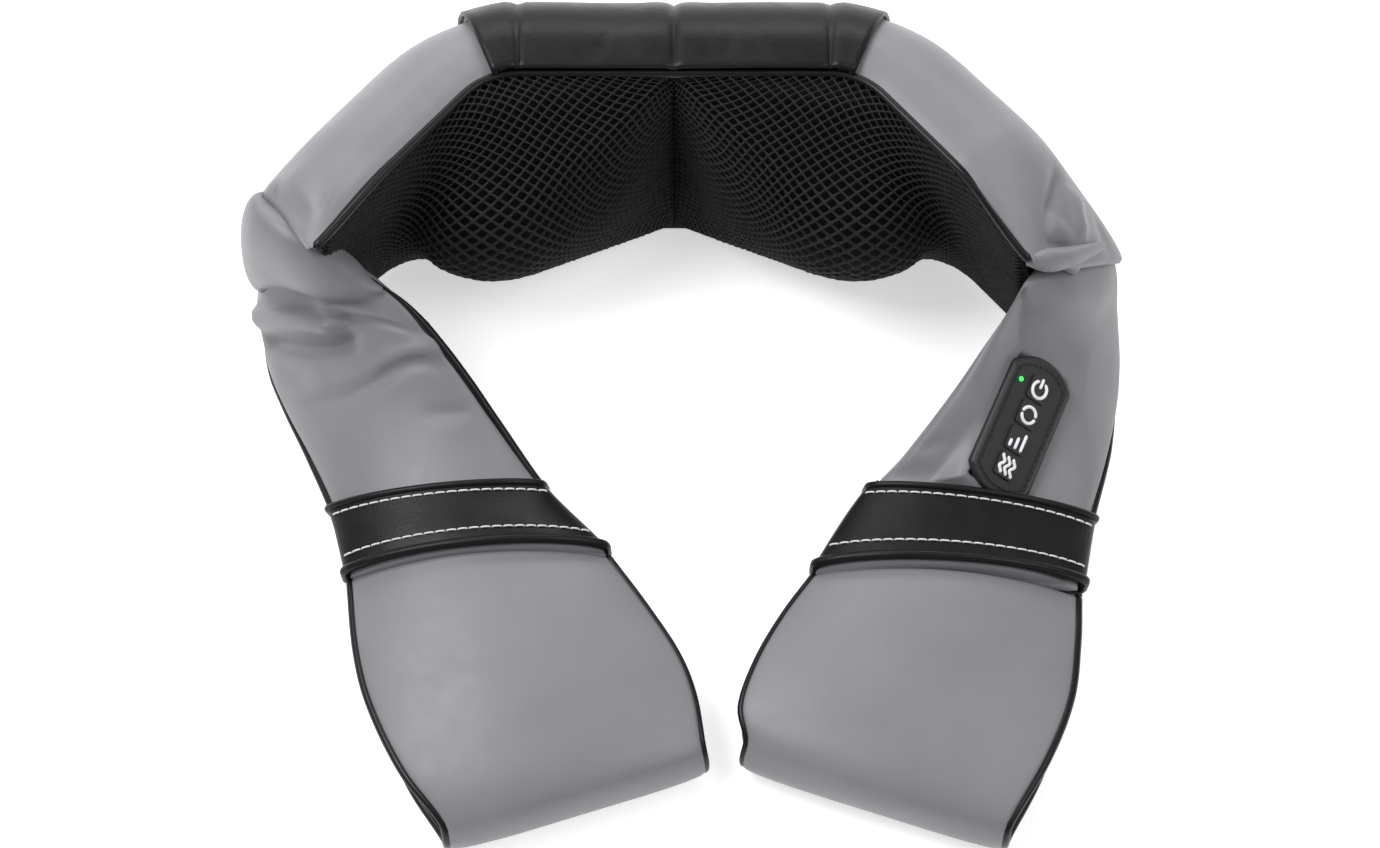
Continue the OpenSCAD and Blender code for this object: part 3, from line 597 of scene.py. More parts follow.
WING_FOLDS = {
    -1: [
        ([(-198, 66, 124), (-184, 48, 133), (-172, 33, 138)], 5.0, -2.5, 0.3),
        ([(-186, 72, 134), (-172, 54, 142), (-160, 40, 145)], 9.0, 1.2, 0.3),
    ],
    1: [
        ([(190, 80, 126), (187, 62, 130), (182, 44, 131), (180, 34, 126)], 4.5, -3.6, 0.35),
        ([(198, 70, 118), (197, 54, 116), (198, 42, 106)], 6.0, 3.6, 0.35),
        ([(179, 47, 136), (186, 42, 126), (195, 41, 114)], 3.6, 1.8, 0.35),
        ([(176, 34, 130), (184, 33, 122), (194, 38, 110)], 3.4, -2.6, 0.35),
        ([(208, 66, 102), (212, 54, 96), (216, 46, 86)], 5.0, -1.0, 0.35),
    ],
}


# ---- kneading side
HEAD_LEAN = math.radians(14)
HEAD_A = 96.0
DRIVE_Y = 143.0
# Radius and height of the space that the turning nodes sweep
HEAD_SPACE = np.array([(47, 4), (47, 39.5), (43.5, 50), (35, 57.5), (24.5, 62), (13, 65.5)], float)
TALL_NODE_X = 19.0
TALL_NODE_R = 7
MESH_END = WING_END - 6
# Runs between which the seam holds a head's tent, and how far the tent stays below the seam
TENT_START = 1.5
TENT_END = 116.0
TENT_SINK = 3.5
SEAM_SET = 1.5
RELAX_STEPS = 170
CELLS_ALONG = 66
CELLS_UP = 64


def tent_planes(side, start, low):
    """Outward planes of the tent over one head: the tightest skin round its swept space and the seam."""
    axis = np.array([-side * math.sin(HEAD_LEAN), -math.cos(HEAD_LEAN), 0.0])
    across = np.array([math.cos(HEAD_LEAN), -side * math.sin(HEAD_LEAN), 0.0])
    base = np.array([side * math.cos(HEAD_LEAN) * HEAD_A, DRIVE_Y - math.sin(HEAD_LEAN) * HEAD_A, UNIT_H / 2])
    a = np.linspace(0, 2 * math.pi, 28, endpoint=False)
    ring = np.cos(a)[:, None] * across + np.sin(a)[:, None] * np.array([0, 0, 1.0])
    points = [base + axis * t + ring * r for r, t in HEAD_SPACE]
    # The two tall nodes lie level in the photograph and square the tip off
    for shift in (-TALL_NODE_X, TALL_NODE_X):
        points.append(base + axis * 57.5 + across * shift + ring * TALL_NODE_R + axis * 4.5)
    runs = np.linspace(start, TENT_END, 30) * side
    p, n = seam(runs)
    edges = shell_grid(runs, 2, -low, np.stack([lower_seam(runs), np.ones(30)], 1))
    edges[..., :2] -= n[:, None, :] * SEAM_SET
    points.append(edges.reshape(-1, 3))
    points = np.concatenate(points)
    bm = bmesh.new()
    for q in points:
        bm.verts.new(q)
    bmesh.ops.convex_hull(bm, input=bm.verts)
    bm.normal_update()
    centre = base + axis * 26
    planes = []
    for f in bm.faces:
        m = np.array(f.normal)
        d = float(np.dot(m, np.array(f.verts[0].co) - centre))
        planes.append((m, d) if d > 0 else (-m, -d))
    bm.free()
    return centre, np.array([m for m, _ in planes]), np.array([d for _, d in planes])


def push_out(p, tent):
    """Moves the points inside a tent out to its skin, along rays from its middle."""
    centre, m, d = tent
    q = (p - centre).reshape(-1, 3)
    share = (q @ m.T / d).max(axis=1)
    scale = np.where(share < 1, 1 / np.maximum(share, 1e-3), 1.0)
    return (centre + q * scale[:, None]).reshape(p.shape)


def mesh_surface():
    """The elastic net: stretched over both heads, sewn in round its edge and drawn in at the middle."""
    nu, nv = 141, 61
    runs = np.linspace(-MESH_END, MESH_END, nu)
    p, n = seam(runs)
    edges = shell_grid(runs, 2, -2.0, np.stack([lower_seam(runs), np.ones(nu)], 1))
    low, high = edges[:, :1], edges[:, 1:]
    high[..., :2] -= n[:, None, :] * SEAM_SET
    low[..., :2] -= n[:, None, :] * SEAM_SET
    f = np.linspace(0, 1, nv)
    flat = low + (high - low) * f[None, :, None]
    along = np.gradient(p, axis=0)
    front = unit(np.cross(np.concatenate([along, np.zeros((nu, 1))], 1), (high - low)[:, 0]))
    front = (front * -np.sign((front[:, :2] * n).sum(axis=1, keepdims=True)))[:, None, :]
    fixed = np.zeros((nu, nv), bool)
    fixed[:, 0] = fixed[:, -1] = fixed[0] = fixed[-1] = True
    mid = nu // 2
    fixed[mid] = True
    puff = 5.0 * np.sin(math.pi * f) ** 0.6
    forward = 6 + 36 * (1 - smooth(np.abs(runs), 104, 130))
    grid = flat + front * (forward[:, None] * np.sin(math.pi * f))[..., None] * (~fixed)[..., None]
    tents = [tent_planes(side, TENT_START, TENT_SINK) for side in (-1, 1)]
    on_left = np.arange(nu)[:, None, None] < mid
    for _ in range(RELAX_STEPS):
        mean = grid.copy()
        mean[1:-1, 1:-1] = 0.25 * (grid[2:, 1:-1] + grid[:-2, 1:-1] + grid[1:-1, 2:] + grid[1:-1, :-2])
        grid = np.where(on_left, push_out(mean, tents[0]), push_out(mean, tents[1]))
        # The padding behind the mesh keeps it in front of the seams
        depth = ((grid - flat) * front).sum(axis=2)
        grid = grid + front * np.maximum(puff[None, :] - depth, 0)[..., None]
        grid[fixed] = flat[fixed]
    return grid


def sample(grid, u, v):
    """Bilinear points of a grid at fractional row and column numbers."""
    u = np.clip(u, 0, grid.shape[0] - 1.0001)
    v = np.clip(v, 0, grid.shape[1] - 1.0001)
    i, j = u.astype(int), v.astype(int)
    a, b = (u - i)[..., None], (v - j)[..., None]
    return (
        grid[i, j] * (1 - a) * (1 - b)
        + grid[i + 1, j] * a * (1 - b)
        + grid[i, j + 1] * (1 - a) * b
        + grid[i + 1, j + 1] * a * b
    )


def mesh_cover():
    base = mesh_surface()
    out = normals(base)
    if (out[..., 1]).mean() > 0:
        out = -out
    across, up = CELLS_ALONG, CELLS_UP
    # Diamond cells in offset rows; each has eight points on its strands and eight round its hole
    rows = np.arange(1, up)
    cu, cv = [], []
    for r in rows:
        off = 0.5 if r % 2 else 0.0
        c = np.arange(0.5 + off, across - 0.4, 1.0)
        cu.append(c)
        cv.append(np.full(len(c), float(r)))
    cu, cv = np.concatenate(cu), np.concatenate(cv)
    ring = np.array(
        [(0.5, 0), (0.25, 0.5), (0, 1), (-0.25, 0.5), (-0.5, 0), (-0.25, -0.5), (0, -1), (0.25, -0.5)]
    )
    corner = np.array([1, 0, 1, 0, 1, 0, 1, 0], float)

    def at(scale, lift):
        u = (cu[:, None] + ring[None, :, 0] * scale) / across * (base.shape[0] - 1)
        v = (cv[:, None] + ring[None, :, 1] * scale) / up * (base.shape[1] - 1)
        return sample(base, u, v) + sample(out, u, v) * np.asarray(lift)[..., None]

    outer = at(np.ones(8), 0.8 + 0.3 * corner[None, :] + np.zeros((len(cu), 1)))
    rim = at(0.77 + 0.05 * (1 - corner), np.full((1, 8), 0.35))
    deep = at(0.74 + 0.05 * (1 - corner), np.full((1, 8), -0.4))
    jitter = rng.uniform(-0.16, 0.16, size=outer.shape)
    key = np.round(outer.reshape(-1, 3), 2)
    _, first, back = np.unique(key, axis=0, return_index=True, return_inverse=True)
    back = back.ravel()
    strands = outer.reshape(-1, 3)[first] + jitter.reshape(-1, 3)[first]
    points = np.concatenate([strands, rim.reshape(-1, 3), deep.reshape(-1, 3)])
    cells = np.arange(len(cu))[:, None] * 8
    k = np.arange(8)[None, :]
    a = back[(cells + k)]
    b = back[(cells + (k + 1) % 8)]
    c = len(strands) + cells + (k + 1) % 8
    d = len(strands) + cells + k
    e = len(strands) + len(cu) * 8 + cells + (k + 1) % 8
    f = len(strands) + len(cu) * 8 + cells + k
    faces = np.concatenate([np.stack(q, -1).reshape(-1, 4) for q in ((a, b, c, d), (d, c, e, f))])
    net = mesh_object("mesh_cover_net", points, faces, NET)
    rides(net, "massage_unit", ["mesh_cover"])
    # The backing lies 2.6 mm behind the net; its near-black colour is the dark inner layer plus painted shade
    # for the holes
    backing_hole_shade = sheet_object("mesh_cover_backing_hole_shade", base - out * 2.6, HOLE_SHADE_BACKING, 1.2)
    rides(backing_hole_shade, "massage_unit", ["mesh_cover"])


def unit_piping():
    runs = np.linspace(-WING_END + 3, WING_END - 3, 170)
    p, n = seam(runs)
    start = lower_seam(runs)
    lines = {"top_piping": shell_grid(runs, 2, -2.3, np.stack([start, np.ones(170)], 1))[:, 1]}
    lines["bottom_piping"] = shell_grid(runs, 2, -1.6, np.stack([start, start + 0.01], 1))[:, 0]
    for name, line in lines.items():
        line[:, :2] -= n * 0.8
        line[:, 2] = np.maximum(line[:, 2], 2.3)
        if name == "bottom_piping":
            line = line[np.abs(runs) < WING_CUT[1] + 22]
        obj = tube_object(name + "_cord", evenly(line, 3), PIPE_R, PIPING, 16)
        rides(obj, "massage_unit", [name])


# ---- arms
THICK = 16.0
LOOP_THICK = 9.0
LEFT_ARM = [
    [(-209, 66, 36), (-160, 34, 104), 3], [(-211, 60, 20), (-143, 25, 97), 3],
    [(-208, 42, 15), (-130, 17, 90), 4], [(-203, 22, 14), (-115, 4, 77), 6],
    [(-193, -2, 16), (-101, -11, 65), 8], [(-180, -30, 20), (-88, -27, 54), 9],
    [(-165, -66, 25), (-62, -60, 38), 11], [(-156, -101, 29), (-33, -91, 36), 13],
]
RIGHT_ARM = [
    [(215, 64, 70), (180, 38, 98), 2], [(219, 52, 58), (172, 22, 104), 3],
    [(221, 43, 38), (165, 11, 100), 4], [(223, 26, 22), (154, -2, 91), 5],
    [(221, 2, 18), (136, -23, 75), 7], [(214, -31, 20), (113, -46, 55), 9],
    [(203, -70, 25), (95, -60, 40), 11], [(196, -106, 29), (69, -101, 36), 13],
]
LEFT_FRONT = [
    [(-156, -103, 29), (-32, -93, 36), 14], [(-151, -140, 32), (-14, -119, 36), 14],
    [(-143, -169, 34), (1, -144, 37), 12], [(-126, -204, 37), (9, -166, 37), 8],
]
RIGHT_FRONT = [
    [(195, -112, 30), (68, -103, 36), 14], [(193, -136, 32), (54, -123, 36), 14],
    [(188, -166, 34), (41, -147, 37), 12], [(175, -198, 37), (33, -171, 37), 8],
]
LEFT_BACK = [
    [(-126, -196, 5), (6, -163, 5), 0], [(-144, -150, 7), (-10, -128, 8), -3],
    [(-158, -90, 14), (-44, -80, 22), -10],
]
RIGHT_BACK = [
    [(175, -192, 5), (36, -163, 5), 0], [(192, -140, 7), (52, -126, 8), -3],
    [(198, -94, 15), (78, -84, 24), -10],
]
LEFT_FOLD = [(-110, -218, 21), (10, -180, 21)]
RIGHT_FOLD = [(160, -218, 21), (39, -177, 21)]
FOLD_R = 16.0


def station_rows(stations, thick):
    return np.array([[*s[0], *s[1], s[2], thick] for s in stations], float)


def strap_frames(rows, side):
    """Middle, half width and up direction at each row."""
    o, i = rows[:, 0:3], rows[:, 3:6]
    mid, half = (o + i) / 2, (i - o) / 2
    along = np.gradient(mid, axis=0)
    up = unit(np.cross(along, half)) * (1 if side < 0 else -1)
    return mid, half, up


def strap_surface(mid, half, up, crown, thick, v, top=True, edge=0.22):
    """Points across a padded strap: v from -1 at the outer edge to 1 at the inner one."""
    full = edge + (1 - edge) * np.maximum(1 - np.abs(v) ** 3.2, 0) ** 0.5
    lift = crown[:, None] * (1 - v**2)[None, :] + (1 if top else -1) * thick[:, None] / 2 * full[None, :]
    return mid[:, None, :] + half[:, None, :] * v[None, :, None] + up[:, None, :] * lift[..., None]


V_TOP = np.sin(np.linspace(-math.pi / 2, math.pi / 2, 72)) * 0.5 + np.linspace(-1, 1, 72) * 0.5
V_LOW = np.linspace(1, -1, 30)


def arm_rows(side, count=110):
    rows = station_rows(LEFT_ARM if side < 0 else RIGHT_ARM, THICK)
    return spline(rows, np.linspace(0, 1, count))


def arm_pad(side):
    name = HAND[side]
    rows = arm_rows(side)
    mid, half, up = strap_frames(rows, side)
    top = strap_surface(mid, half, up, rows[:, 6], rows[:, 7], V_TOP)
    low = strap_surface(mid, half, up, rows[:, 6], rows[:, 7], V_LOW, top=False)
    out = normals(top)
    out = out * np.sign((out * up[:, None, :]).sum(axis=2).mean())
    for line, width, height, fade, sharp in LEFT_FOLDS if side < 0 else RIGHT_FOLDS:
        top = fold(top, out, line, width, height, fade, sharp)
    top = top + out * soft_noise(top, 0.6, 75, 21 + side)[..., None]
    if side > 0:
        top = seat_panel(top, out)
    rings = np.concatenate([top, low], axis=1)
    obj = ring_object(name + "_arm_leather", rings, GREY)
    rides(obj, name + "_arm", [name + "_arm_pad"])


LEFT_FOLDS = [
    ([(-214, 48, 26), (-196, 38, 44), (-178, 28, 58), (-158, 20, 70)], 7.5, 8.0, 0.12, 1.3),
    ([(-212, 38, 20), (-196, 26, 34), (-178, 16, 48), (-160, 12, 60), (-150, 18, 70)], 4.5, -5.0, 0.15, 1.0),
    ([(-181, 34, 60), (-162, 24, 70), (-141, 15, 80), (-117, 6, 80)], 2.2, -2.6, 0.3, 1.0),
    ([(-176, 36, 68), (-160, 28, 78), (-140, 20, 86)], 4.5, 2.5, 0.3, 1.0),
    ([(-152, -4, 52), (-137, 4, 64), (-124, 5, 72), (-108, -4, 76)], 4.5, 2.4, 0.35, 1.0),
    ([(-150, -12, 48), (-135, -2, 60), (-122, -1, 68), (-108, -10, 70)], 4.0, -1.8, 0.35, 1.0),
    ([(-188, -6, 34), (-160, -10, 48), (-142, -4, 57), (-133, 2, 64)], 3.4, -1.9, 0.35, 1.0),
    ([(-186, 2, 36), (-162, -2, 50), (-148, 2, 58)], 5.0, 1.6, 0.35, 1.0),
    ([(-126, -24, 58), (-110, -27, 62), (-94, -24, 60)], 4.0, -1.2, 0.4, 1.0),
    ([(-205, 22, 24), (-190, 10, 36), (-176, 6, 44)], 4.0, -1.2, 0.4, 1.0),
]
RIGHT_FOLDS = [
    ([(170, 12, 108), (185, 10, 100), (205, 20, 84), (222, 36, 60)], 9.0, 2.5, 0.3, 1.0),
    ([(150, -12, 88), (165, -8, 84), (180, -6, 76)], 6.0, -0.8, 0.4, 1.0),
    ([(118, -48, 58), (126, -44, 62), (134, -42, 64)], 3.0, -0.6, 0.4, 1.0),
]


def roll(side):
    """The rolled-over fold where the wing's leather turns into the arm."""
    name = HAND[side]
    if side < 0:
        upper = [
            (-186, 76, 100), (-201, 64, 118), (-199, 52, 124), (-186, 39, 127),
            (-173, 31, 124), (-158, 27, 113), (-149, 24, 104), (-141, 23, 98),
        ]
        lower = [
            (-190, 70, 34), (-207, 56, 36), (-201, 49, 54), (-185, 41, 71),
            (-171, 31, 81), (-158, 25, 89), (-148, 22, 95), (-141, 21, 96),
        ]
        depth = [5, 8, 11, 12, 11, 8, 4.5, 1.5]
    else:
        upper = [(169, 25, 124), (178, 26, 127), (188, 31, 121), (199, 39, 111), (210, 49, 98)]
        lower = [(169, 22, 120), (179, 22, 115), (190, 28, 109), (201, 37, 101), (211, 47, 94)]
        depth = [0.6, 4.0, 4.4, 2.6, 0.8]
    at = np.linspace(0, 1, 80)
    knots = np.linspace(0, 1, len(upper))
    a, b = spline(upper, at, knots), spline(lower, at, knots)
    deep = spline(np.array(depth)[:, None], at, knots)[:, 0]
    mid, half = (a + b) / 2, (a - b) / 2
    out = unit(np.cross(np.gradient(mid, axis=0), half))
    out = out * np.sign((out @ np.array([side * 0.4, -0.6, 0.6])).mean())
    angle = np.linspace(0, 2 * math.pi, 64, endpoint=False)
    c, s = np.cos(angle), np.sin(angle)
    rings = (
        mid[:, None, :] + half[:, None, :] * (np.sign(c) * np.abs(c) ** 0.9)[None, :, None]
        + out[:, None, :] * (deep[:, None] * np.where(s > 0, s, s * 1.3)[None, :])[..., None]
    )
    obj = ring_object(name + "_gusset_roll", rings, GREY)
    arm_blend(obj, [name + "_gusset"])


def loop(side):
    """The hand loop: the strap runs on, folds under and comes back to the band."""
    name = HAND[side]
    front = station_rows(LEFT_FRONT if side < 0 else RIGHT_FRONT, LOOP_THICK)
    back = station_rows(LEFT_BACK if side < 0 else RIGHT_BACK, LOOP_THICK)
    o, i = (np.array(p, float) for p in (LEFT_FOLD if side < 0 else RIGHT_FOLD))
    sweep = unit(np.cross([0, 0, 1.0], i - o)) * (1 if side < 0 else -1)
    fm, fh, fu = strap_frames(front, side)
    bm, bh, bu = strap_frames(back, side)
    # Past the fold the outer face of the strap looks down
    keys = [[*fm[k], *fh[k], *fu[k], front[k, 6]] for k in range(4)]
    for a in (50, 12, -25, -62):
        d = np.array([0, 0, math.sin(math.radians(a))]) - sweep * math.cos(math.radians(a))
        keys.append([*((o + i) / 2 + FOLD_R * d), *((i - o) / 2), *d, 8 * max(math.sin(math.radians(a)), 0)])
    keys += [[*bm[k], *bh[k], *(-bu[k] * np.sign(bu[k, 2])), -back[k, 6]] for k in range(3)]
    rows = spline(np.array(keys), np.linspace(0, 1, 150))
    mid, half, up, crown = rows[:, :3], rows[:, 3:6], unit(rows[:, 6:9]), rows[:, 9]
    thick = np.full(len(rows), LOOP_THICK)
    top = strap_surface(mid, half, up, crown, thick, V_TOP, edge=0.35)
    low = strap_surface(mid, half, up, crown, thick, V_LOW, top=False, edge=0.35)
    out = np.repeat(up[:, None, :], top.shape[1], 1)
    top = top + out * soft_noise(top, 0.5, 85, 31 + side)[..., None]
    obj = ring_object(name + "_loop_leather", np.concatenate([top, low], axis=1), GREY)
    rides(obj, name + "_arm", [name + "_loop_front", name + "_loop_back"])
    for sign, which in ((-1, "outer"), (1, "inner")):
        width = np.linalg.norm(half, axis=1, keepdims=True)
        line = mid + half / width * sign * (width + 0.6)
        r = PIPE_R * (1.0 if which == "outer" else 0.85)
        cord = tube_object(f"{name}_loop_{which}_piping", evenly(line, 3), r, PIPING)
        rides(cord, name + "_arm", [name + "_piping"])


# Rows of the arm where its piping starts at the outer and the inner edge, and where both stop
PIPING_START = {-1: (14, 6), 1: (40, 80)}
PIPING_STOP = 100
# Rows of the arm that a band covers
BAND_ROWS = slice(84, 110)


def arm_piping(side):
    name = HAND[side]
    rows = arm_rows(side)
    mid, half, up = strap_frames(rows, side)
    width = np.linalg.norm(half, axis=1, keepdims=True)
    for (sign, which), first in zip(((-1, "outer"), (1, "inner")), PIPING_START[side]):
        line = (mid + half / width * sign * (width + 0.8))[first:PIPING_STOP]
        taper = np.clip(np.arange(len(line)) / 22, 0.25, 1) * PIPE_R
        line3 = evenly(line, 3)
        r = np.interp(np.linspace(0, 1, len(line3)), np.linspace(0, 1, len(line)), taper)
        cord = tube_object(f"{name}_{which}_piping", line3, r, PIPING)
        rides(cord, name + "_arm", [name + "_piping"])


def band(side):
    """Black leather sleeve round the strap, with rolled hems and two rows of white stitches."""
    name = HAND[side]
    rows = station_rows(LEFT_ARM if side < 0 else RIGHT_ARM, THICK)
    rows = spline(rows, np.linspace(0.0, 1, 111))
    rows = spline(rows[BAND_ROWS], np.linspace(0, 1, 46))
    mid, half, up = strap_frames(rows, side)
    n = len(rows)
    along = unit(np.gradient(mid, axis=0))
    f = np.linspace(0, 1, n)
    grow = 2.6 + 1.0 * np.sin(math.pi * f) ** 0.4
    width = np.linalg.norm(half, axis=1, keepdims=True)
    wide = half * (1 + (1.2 + grow[:, None] * 0.5) / width)
    top = strap_surface(mid, wide, up, rows[:, 6], rows[:, 7] + 2 * grow, V_TOP, edge=0.45)
    low = strap_surface(mid, wide, up, rows[:, 6], rows[:, 7] + 2 * grow, V_LOW, top=False, edge=0.45)
    rings = np.concatenate([top, low], axis=1)
    inner_c = rings.mean(axis=1, keepdims=True)
    shrink = unit(np.cross(np.roll(rings, -1, 1) - np.roll(rings, 1, 1), along[:, None, :]))
    shrink = shrink * np.sign(((inner_c - rings) * shrink).sum(axis=2, keepdims=True).mean())
    inside = rings + shrink * 2.4
    nu, nv = rings.shape[:2]
    points = np.concatenate([rings.reshape(-1, 3), inside.reshape(-1, 3)])
    faces = [grid_faces(nu, nv, closed_v=True), grid_faces(nu, nv, closed_v=True, flip=True, start=nu * nv)]
    j = np.arange(nv)
    for row in (0, nu - 1):
        a, b = row * nv + j, row * nv + (j + 1) % nv
        q = np.stack([a, b, b + nu * nv, a + nu * nv], axis=1)
        faces.append(q if row else q[:, ::-1])
    obj = outward_faces(mesh_object(name + "_band_leather", points, np.concatenate(faces), BLACK))
    rides(obj, name + "_arm", [name + "_band"])
    for row, which, radius in ((1, "upper", 1.7), (nu - 2, "lower", 2.3)):
        line = np.concatenate([rings[row], rings[row][:2]])
        hem = tube_object(f"{name}_band_{which}_hem", evenly(line, 2.5), radius, BLACK)
        rides(hem, name + "_arm")
    for frac, which in ((0.16, "upper"), (0.80, "lower")):
        row = int(frac * (nu - 1))
        keep = slice(2, len(V_TOP) - 2)
        out = -shrink[row][: len(V_TOP)][keep]
        line = top[row][keep] + out * 0.1
        s = many_tubes(f"{name}_band_{which}_stitches", stitch_paths(line, out, 5.4, 4.3), 0.5, WHITE_THREAD)
        rides(s, name + "_arm")


# ---- control panel
PANEL_C = np.array([168.0, -32.0, 56.0])
PANEL_Z = unit([0.5, -0.39, 0.77])
PANEL_X = unit(np.cross([0.41, 0.9, 0.2], PANEL_Z))
PANEL_Y = np.cross(PANEL_Z, PANEL_X)
PANEL_HALF_W, PANEL_HALF_L, PANEL_END_R = 17.5, 35.0, 24.0
CORNER_PASSES = 3
KEY_TOP = 4.5
KEY_Y = {"power": 21.0, "direction": 7.0, "speed": -7.0, "heat": -21.0}


def on_panel(points):
    p = np.asarray(points, float)
    return PANEL_C + p[..., 0:1] * PANEL_X + p[..., 1:2] * PANEL_Y + p[..., 2:3] * PANEL_Z


def panel_outline(grow, z):
    """Closed outline of the panel: two straight sides and two shallow arcs, with rounded corners."""
    r = PANEL_END_R + grow
    wide = math.asin((PANEL_HALF_W + grow) / r)
    centre = PANEL_HALF_L - PANEL_END_R
    a = np.linspace(math.pi / 2 - wide, math.pi / 2 + wide, 40)
    top = np.stack([r * np.cos(a), centre + r * np.sin(a)], 1)
    line = np.concatenate([top, -top, top[:1]])
    line = np.concatenate([line, np.zeros((len(line), 1))], 1)
    line = evenly(line, lengths(line)[-1] / 220)[:-1]
    for _ in range(CORNER_PASSES):
        line = 0.5 * line + 0.25 * (np.roll(line, 1, 0) + np.roll(line, -1, 0))
    line[:, 2] = z
    return line


def seat_panel(top, out):
    """Presses the padded arm flat under the panel, so that the panel beds into it."""
    q = top - PANEL_C
    x, y, z = q @ PANEL_X, q @ PANEL_Y, q @ PANEL_Z
    d = np.maximum(np.abs(x) - PANEL_HALF_W, np.abs(y) - PANEL_HALF_L)
    near_panel = (1 - smooth(d, -2.0, 32.0)) * (np.abs(z) < 25)
    target = 0.8 - 10.0 * (1 - smooth(d, -3.5, -1.5))
    lift = (target - z) * near_panel
    lift = np.where(lift > 0, lift * (1 - smooth(d, 0.0, 8.0)), lift)
    return top + PANEL_Z * lift[..., None]


# How far the rim's section stands out from the panel's outline, and its height
RIM_SECTION = ((1.2, -1.0), (1.6, 0.6), (1.5, 2.4), (0.9, 3.7), (-0.4, 4.1), (-1.5, 3.6), (-1.9, 3.0))
ICON_R = 0.85


def panel():
    rings = np.array([on_panel(panel_outline(grow, z)) for grow, z in RIM_SECTION])
    nu, nv = rings.shape[:2]
    rim = mesh_object("panel_rim", rings.reshape(-1, 3), grid_faces(nu, nv, closed_v=True), SILICONE)
    first = rim.data.polygons[0]
    if (rim.data.vertices[first.vertices[0]].co - Vector(place(PANEL_C))).dot(first.normal) < 0:
        rim.data.flip_normals()
    rides(rim, "right_arm")
    line = on_panel(np.concatenate([panel_outline(-2.9, 3.6), panel_outline(-2.9, 3.6)[:1]]))
    out = np.repeat(PANEL_Z[None], len(line), 0)
    s = many_tubes("panel_stitches", stitch_paths(line, out, 3.4, 2.6, 0.35), 0.42, BLACK_THREAD)
    rides(s, "right_arm")

    def arc(r, a, b, cx=0.0, cy=0.0, n=30):
        t = np.radians(np.linspace(a, b, n))
        return np.stack([cx + r * np.cos(t), cy + r * np.sin(t), np.full(n, KEY_TOP)], 1)

    def bar(x0, y0, x1, y1):
        return np.stack([np.linspace(x0, x1, 6), np.linspace(y0, y1, 6), np.full(6, KEY_TOP)], 1)

    def wave(x):
        y = np.linspace(-4.2, 4.2, 26)
        return np.stack([x + 0.95 * np.sin(y * 1.1), y, np.full(26, KEY_TOP)], 1)

    icons = {
        "power": [arc(4.2, 125, 415), bar(0, 1.2, 0, 5.2)],
        "direction": [arc(4.1, 15, 165), arc(4.1, 195, 345)],
        "speed": [bar(-3.6, -4.0, -3.6, -1.4), bar(0, -4.0, 0, 0.9), bar(3.6, -4.0, 3.6, 4.0)],
        "heat": [wave(-3.3), wave(0.0), wave(3.3)],
    }
    for key, paths in icons.items():
        shift = np.array([0, KEY_Y[key], 0.0])
        made = [on_panel(p + shift) for p in paths]
        obj = many_tubes(key + "_icon", made, ICON_R, PRINT, 10)
        rides(obj, key + "_button")


# ---- carried-over nodes
def emissive(name, colour, strength):
    m, tree, bsdf = new_material(name)
    v = mapped(tree)
    tone = mix_colour(tree, noise(tree, v, 900.0), tuple(c * 0.8 for c in colour), colour)
    tree.links.new(tone, bsdf.inputs["Base Color"])
    bsdf.inputs["Emission Color"].default_value = (*colour, 1)
    bsdf.inputs["Emission Strength"].default_value = strength
    bsdf.inputs["Roughness"].default_value = 0.3
    return m


TURNED_AND_MOULDED = {
    "housing_plastic": ((0.05, 0.05, 0.053), 0.5),
    "black_plastic": ((0.02, 0.02, 0.021), 0.45),
    "steel": ((0.62, 0.63, 0.65), 0.28, 0.04, 900.0, 0.00002, 1.0),
    "brass": ((0.72, 0.53, 0.24), 0.3, 0.05, 900.0, 0.00002, 1.0),
    "gear_plastic": ((0.75, 0.74, 0.69), 0.42),
    "node_plastic": ((0.06, 0.06, 0.065), 0.4),
    "circuit_board": ((0.02, 0.14, 0.05), 0.35, 0.08),
    "cable_jacket": ((0.015, 0.015, 0.016), 0.55),
}
FINISH = {
    "black_leather": BLACK,
    "grey_leather": GREY,
    "spacer_mesh": NET,
    "piping": PIPING,
    "panel_silicone": SILICONE,
    "foam": knit("foam", (0.10, 0.10, 0.105), (0.16, 0.16, 0.165), 0.9, 1500.0),
    "lamp_red": emissive("lamp_red", (0.7, 0.03, 0.02), 0.4),
    "light_green": emissive("light_green", (0.02, 0.8, 0.06), 3.0),
}
FINISH.update({name: plastic(name, *look) for name, look in TURNED_AND_MOULDED.items()})


def dress_nodes():
    for part in frame["record"]["subparts"]:
        obj = frame["nodes"][part["node"]]
        m = KEY if part["node"].endswith("_key") else FINISH[part["material_slot"]]
        obj.data.materials.clear()
        obj.data.materials.append(m)


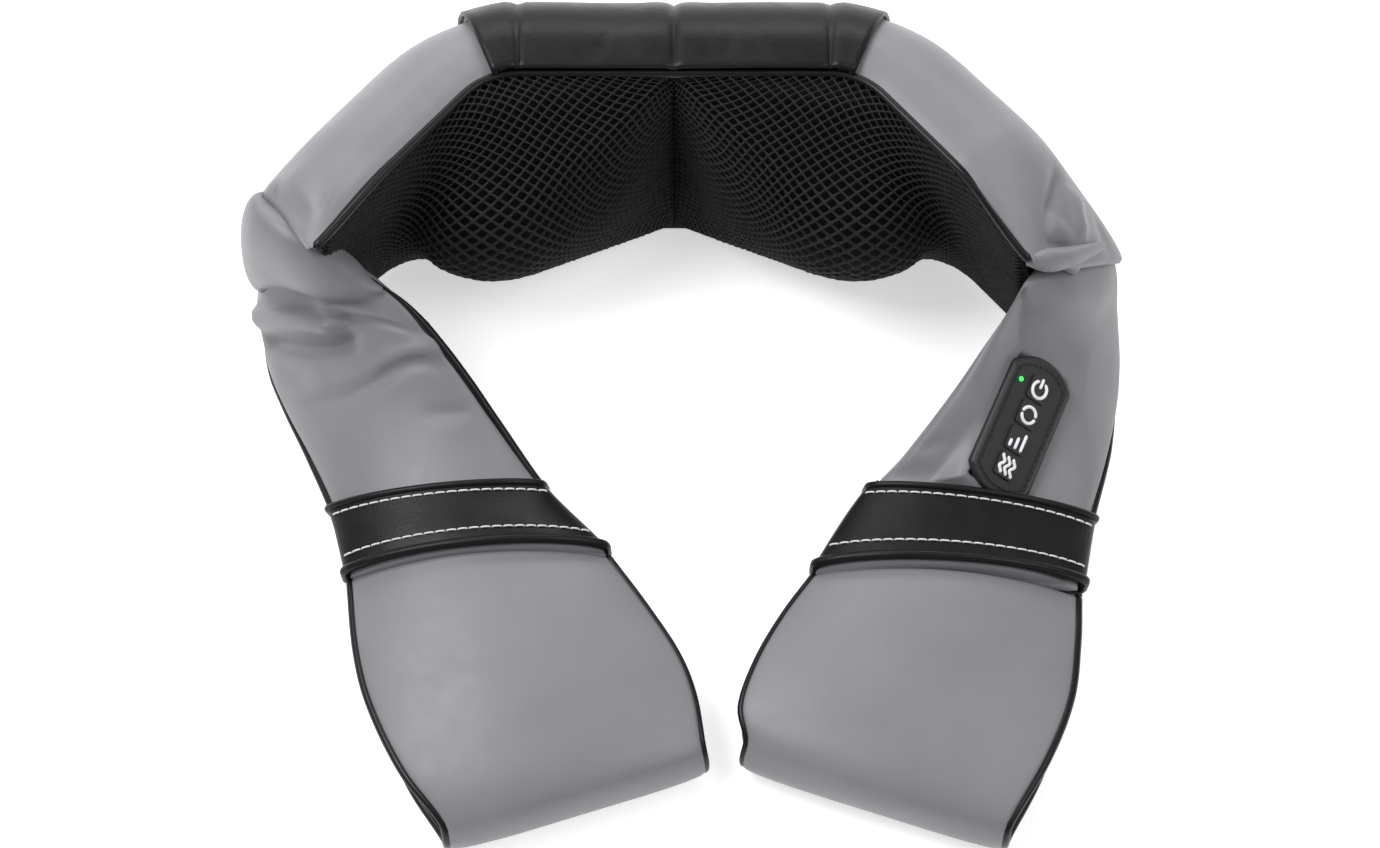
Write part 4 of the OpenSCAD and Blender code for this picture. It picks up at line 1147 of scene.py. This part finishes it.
# ---- stage
def stage():
    # A seamless sweep behind the part
    y = np.array([-6.0, -3.5, -1.6, 0.4, 2.6, 4.4, 5.4, 5.9, 6.0]) / MM
    z = np.array([0, 0, 0, 0, 0, 0.1, 0.6, 1.8, 4.4]) / MM
    line = spline(np.stack([np.zeros(9), y, z], 1), np.linspace(0, 1, 50))
    x = np.linspace(-7000, 7000, 9)
    grid = np.stack([np.broadcast_to(part, (9, 50)) for part in (x[:, None], line[:, 1], line[:, 2])], -1)
    grid = grid - SHIFT
    m, tree, bsdf = new_material("floor")
    v = mapped(tree)
    tone = mix_colour(tree, noise(tree, v, 6.0), (0.86, 0.86, 0.86), (0.9, 0.9, 0.9))
    tree.links.new(tone, bsdf.inputs["Base Color"])
    bsdf.inputs["Roughness"].default_value = 0.9
    bsdf.inputs["Emission Color"].default_value = (1, 1, 1, 1)
    bsdf.inputs["Emission Strength"].default_value = 0.55
    floor = mesh_object("floor", grid, grid_faces(9, 50), m)


def light(name, location, target, size, power, size_y):
    data = bpy.data.lights.new(name, "AREA")
    data.shape = "RECTANGLE"
    data.size = size
    data.size_y = size_y
    data.energy = power
    obj = bpy.data.objects.new(name, data)
    bpy.context.scene.collection.objects.link(obj)
    obj.location = location
    obj.rotation_euler = (Vector(target) - Vector(location)).to_track_quat("-Z", "Y").to_euler()


def studio():
    bpy.context.scene.view_settings.view_transform = "Standard"
    world = bpy.data.worlds.new("studio")
    bpy.context.scene.world = world
    world.use_nodes = True
    bg = world.node_tree.nodes["Background"]
    bg.inputs["Color"].default_value = (1, 1, 1, 1)
    bg.inputs["Strength"].default_value = 0.3
    light("key", (-1.1, 0.25, 1.9), (0, 0.0, 0.03), 1.3, 40.0, size_y=1.1)
    light("fill", (1.3, -0.3, 1.9), (0, 0, 0.03), 1.4, 18.0, size_y=1.2)
    light("back", (0.0, 1.7, 1.3), (0, 0.05, 0.05), 1.8, 16.0, size_y=0.5)


LENS = 87.43
SENSOR = 36.0
AIM = np.array([8.0, 0, 0])
DISTANCE = 1700.0
ELEVATION = math.radians(62)


def camera():
    data = bpy.data.cameras.new("camera")
    data.lens = LENS
    data.sensor_width = SENSOR
    obj = bpy.data.objects.new("camera", data)
    bpy.context.scene.collection.objects.link(obj)
    at = place(AIM + DISTANCE * np.array([0, -math.cos(ELEVATION), math.sin(ELEVATION)]))
    obj.location = tuple(at)
    obj.rotation_euler = (math.pi / 2 - ELEVATION, 0, 0)
    bpy.context.scene.camera = obj


camera()
stage()
studio()
dress_nodes()
neck_cover()
mesh_cover()
unit_piping()
for hand in (-1, 1):
    shoulder_panel(hand)
    roll(hand)
    arm_pad(hand)
    loop(hand)
    arm_piping(hand)
    band(hand)
panel()
